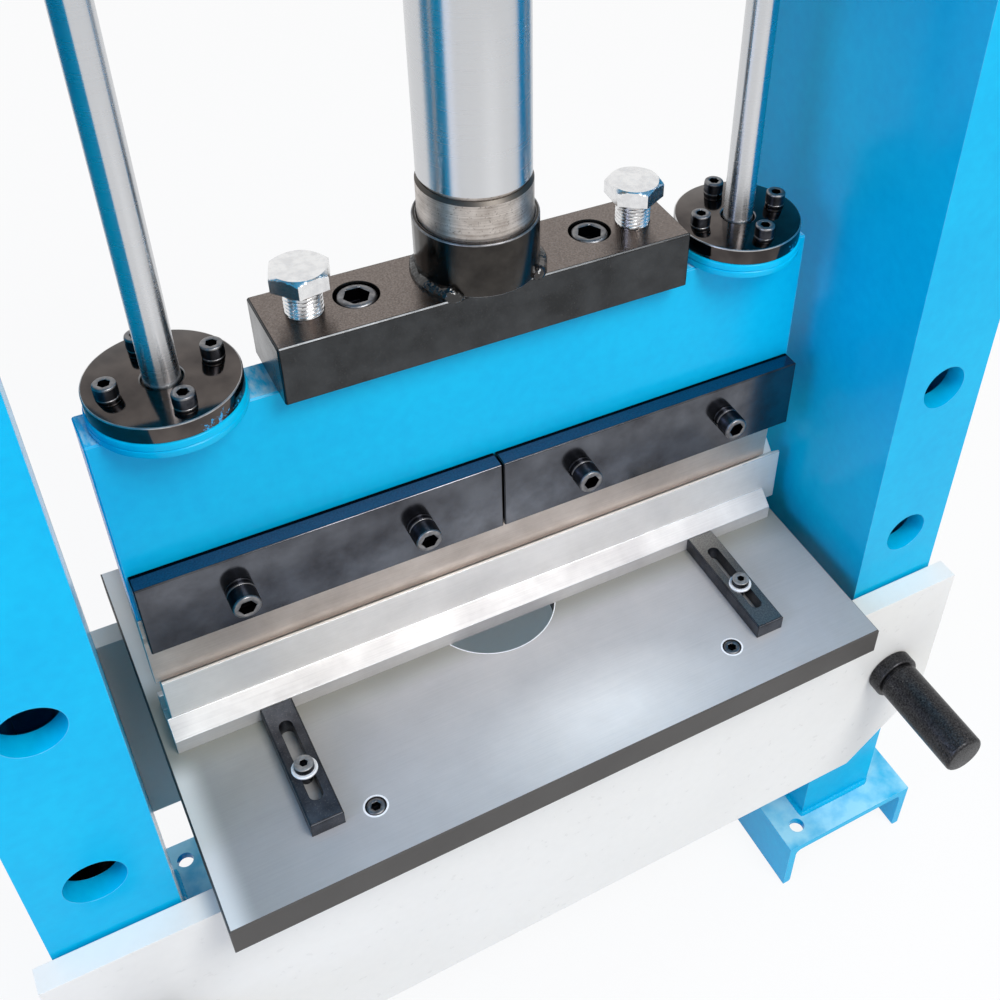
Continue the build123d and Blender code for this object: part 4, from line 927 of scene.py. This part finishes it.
for i in range(0, mark_count + 1, number_step):
    words = bpy.data.curves.new("number", "FONT")
    words.body = str(i)
    words.size = number_size
    words.align_x = "CENTER"
    words.align_y = "CENTER"
    words.extrude = ink_t / 2
    shape = bpy.data.objects.new("number", words)
    bpy.context.scene.collection.objects.link(shape)
    outline = bpy.data.meshes.new_from_object(shape)
    angle = radians(mark_zero - mark_sweep * i / mark_count)
    outline.transform(to_dial @ at(number_r * cos(angle), number_r * sin(angle), number_rise))
    marks.from_mesh(outline)
    bpy.data.objects.remove(shape)
    bpy.data.meshes.remove(outline)
piece("dial_marks", marks, mark_black, "frame")
front = dial_y - case_low.y
bezel = bmesh.new()
turned(bezel, [(case_r - 5, front - 1.5), (case_r - 4.4, front - 0.4), (case_r - 3.4, front),
               (case_r - 0.9, front), (case_r - 0.2, front - 0.7), (case_r, front - 1.6),
               (case_r, front - 6), (case_r - 0.6, front - 6.6), (case_r - 4, front - 6.6),
               (case_r - 4, front - 3.1), (case_r - 5, front - 1.5)], to_dial, steps=128)
piece("gauge_bezel", bezel, chrome, "frame")
glass = bpy.data.materials.new("float_glass")
glass.use_nodes = True
add(glass.node_tree, glass.node_tree.nodes["Principled BSDF"],
    {"Base Color": linear("#FFFFFF"), "Roughness": 0.02, "IOR": 1.5, "Transmission Weight": 1.0})
dress("gauge_glass", glass)


# The hand pump: an oil tank and a pump block on a bent bracket welded to the right
# upright, with a plunger worked by a long lever. Tank and bracket are blue, the pump
# and valve blackened, the lever turned and sawn from bright bar.
dress("pump_bracket", blue_enamel, edge=1.0, wear_and_light=blue_edge, sharp=50)
dress("oil_tank", blue_enamel, edge=1.4, wear_and_light=blue_edge, sharp=40)
for name in ("pump_block", "valve_body"):
    dress(name, case_black, edge=0.8, wear_and_light=rubbed_edge)
bright_bar = turned_metal("bright_drawn_bar", "#CACBCD", "#A3A5A8", 0.32, feed_size=1.2)
for name in ("lever_pivot", "pump_lever"):
    dress(name, bright_bar, edge=0.6)
dress("pump_plunger", chrome, edge=0.4)
dress("pump_handle", zinc, edge=0.4)
dress("valve_handle", zinc)
bracket_low, bracket_high = span("pump_bracket")
bracket_weld, weld_inset, weld_start = 3.0, 2.0, 12.0
seams = bmesh.new()
for y in sides:
    weld_y = y * (bracket_high.y - weld_inset)
    weld_bead(seams, [(upright_high.x, weld_y, bracket_low.z + weld_start),
                      (upright_high.x, weld_y, bracket_high.z)], bracket_weld)
piece("bracket_welds", seams, blue_enamel, "frame", sharp=60)


# The grip: a ribbed sleeve of black rubber pulled over the end of the pump's handle.
# Moulded, so it is matt, with a soft edge on every rib.
rubber = plain("moulded_rubber", "#1D1D1F", 0.62, mottle_size=1.2)
lever_turn, handle_d = radians(20), 25.4
grip_d, grip_length, grip_end_wall, mouth_edge, mouth_length = 33.0, 110.0, 10.0, 0.8, 5.0
rib_count, rib_depth, rib_slope, first_rib, rib_room = 14, 1.1, 0.9, 6.0, 24.0
grip_low, grip_high = span("handle_grip")
r = grip_d / 2
pointing = Vector((0, -cos(lever_turn), sin(lever_turn)))
open_end = at((grip_low.x + grip_high.x) / 2, grip_high.y - r * sin(lever_turn),
              grip_low.z + r * cos(lever_turn))
rib_pitch = (grip_length - rib_room) / rib_count
profile = [(handle_d / 2, grip_length - grip_end_wall), (handle_d / 2, 0), (r - mouth_edge, 0),
           (r, mouth_edge), (r, mouth_length)]
for i in range(rib_count):
    start = first_rib + i * rib_pitch
    rise = start + 0.3 * rib_pitch
    profile += [(r - rib_depth, start + rib_slope), (r - rib_depth, rise), (r, rise + rib_slope),
                (r, start + 0.95 * rib_pitch)]
profile += [(r, grip_length - r / 2), (r - 0.6, grip_length - r / 2 + 2.4), (r - r / 5, grip_length - 2.2),
            (r / 2, grip_length), (0, grip_length)]
grip = bmesh.new()
turned(grip, profile, open_end @ pointing.to_track_quat("Z", "Y").to_matrix().to_4x4(), steps=72)
piece("ribbed_grip", grip, rubber, "pump_lever", "handle_grip")


# The floor and the light: a pale studio floor and an even pale room that camera and
# mirrors see as white, a soft key lamp high at the front right, and a cool fill lamp
# from the left.
floor_mesh = bpy.data.meshes.new("floor")
reach = 9.0
floor_mesh.from_pydata([(-reach, -reach, 0), (reach, -reach, 0), (reach, reach, 0), (-reach, reach, 0)], [],
                       [(0, 1, 2, 3)])
floor = bpy.data.objects.new("floor", floor_mesh)
bpy.context.scene.collection.objects.link(floor)


def seen_as_white(tree):
    """A factor that is 1 for what the camera, a mirror or a glass sees."""
    rays = add(tree, "LightPath").outputs
    direct = add(tree, "Math", {0: rays["Is Camera Ray"], 1: rays["Is Glossy Ray"]}, operation="MAXIMUM")
    seen = add(tree, "Math", {0: direct.outputs["Value"], 1: rays["Is Transmission Ray"]},
               operation="MAXIMUM")
    return seen.outputs["Value"]


paper = bpy.data.materials.new("studio_paper")
paper.use_nodes = True
tree = paper.node_tree
shadow_share = 0.1
shader = add(tree, tree.nodes["Principled BSDF"], {"Base Color": linear("#F4F4F3"), "Roughness": 0.9})
white = add(tree, "Emission", {"Color": linear("#FFFFFF"), "Strength": 1.0})
share = add(tree, "Math", {0: seen_as_white(tree), 1: 1 - shadow_share}, operation="MULTIPLY")
both = add(tree, "MixShader", {0: share.outputs["Value"], 1: shader.outputs[0], 2: white.outputs[0]})
add(tree, tree.nodes["Material Output"], {"Surface": both.outputs[0]})
floor.data.materials.append(paper)

world = bpy.data.worlds.new("studio")
bpy.context.scene.world = world
world.use_nodes = True
tree = world.node_tree
room = add(tree, tree.nodes["Background"], {"Color": linear("#EEF3FF"), "Strength": 0.56})
backdrop = add(tree, "Background", {"Color": linear("#FFFFFF"), "Strength": 1.0})
both = add(tree, "MixShader", {0: seen_as_white(tree), 1: room.outputs[0], 2: backdrop.outputs[0]})
add(tree, tree.nodes["World Output"], {"Surface": both.outputs[0]})


def soft_lamp(name, place, aim, size, power, colour):
    """A square softbox, in metres and watts."""
    lamp = bpy.data.lights.new(name, "AREA")
    lamp.size = size
    lamp.energy = power
    lamp.color = linear(colour)[:3]
    made = bpy.data.objects.new(name, lamp)
    made.location = place
    made.rotation_euler = (Vector(aim) - Vector(place)).to_track_quat("-Z", "Y").to_euler()
    bpy.context.scene.collection.objects.link(made)


soft_lamp("key", (0.6, -1.7, 3.0), (0, 0, 0.6), 1.2, 58, "#FFFFFF")
soft_lamp("fill", (-2.2, -0.8, 1.6), (0.2, 0, 0.6), 1.2, 21, "#B6CDFF")


# The camera: where the photograph was taken from, high at the front left, held a
# little out of level. The frame is a crop, so its middle is off the lens's axis.
camera_place = Vector((-258.2, -590.4, 1149.1)) * mm
yaw, pitch, roll = radians(33.5), radians(-40.9), radians(4.4)
forward = Vector((sin(yaw) * cos(pitch), cos(yaw) * cos(pitch), sin(pitch)))
level = Vector((cos(yaw), -sin(yaw), 0))
upward = level.cross(forward)
across = level * cos(roll) + upward * sin(roll)
up = upward * cos(roll) - level * sin(roll)
lens = bpy.data.cameras.new("camera")
lens.sensor_width = 36
lens.lens = 46.74
lens.shift_x = -0.153
lens.shift_y = -0.091
camera = bpy.data.objects.new("camera", lens)
camera.matrix_world = Matrix.Translation(camera_place) @ Matrix((across, up, -forward)).transposed().to_4x4()
bpy.context.scene.collection.objects.link(camera)
bpy.context.scene.camera = camera
bpy.context.scene.view_settings.view_transform = "Standard"
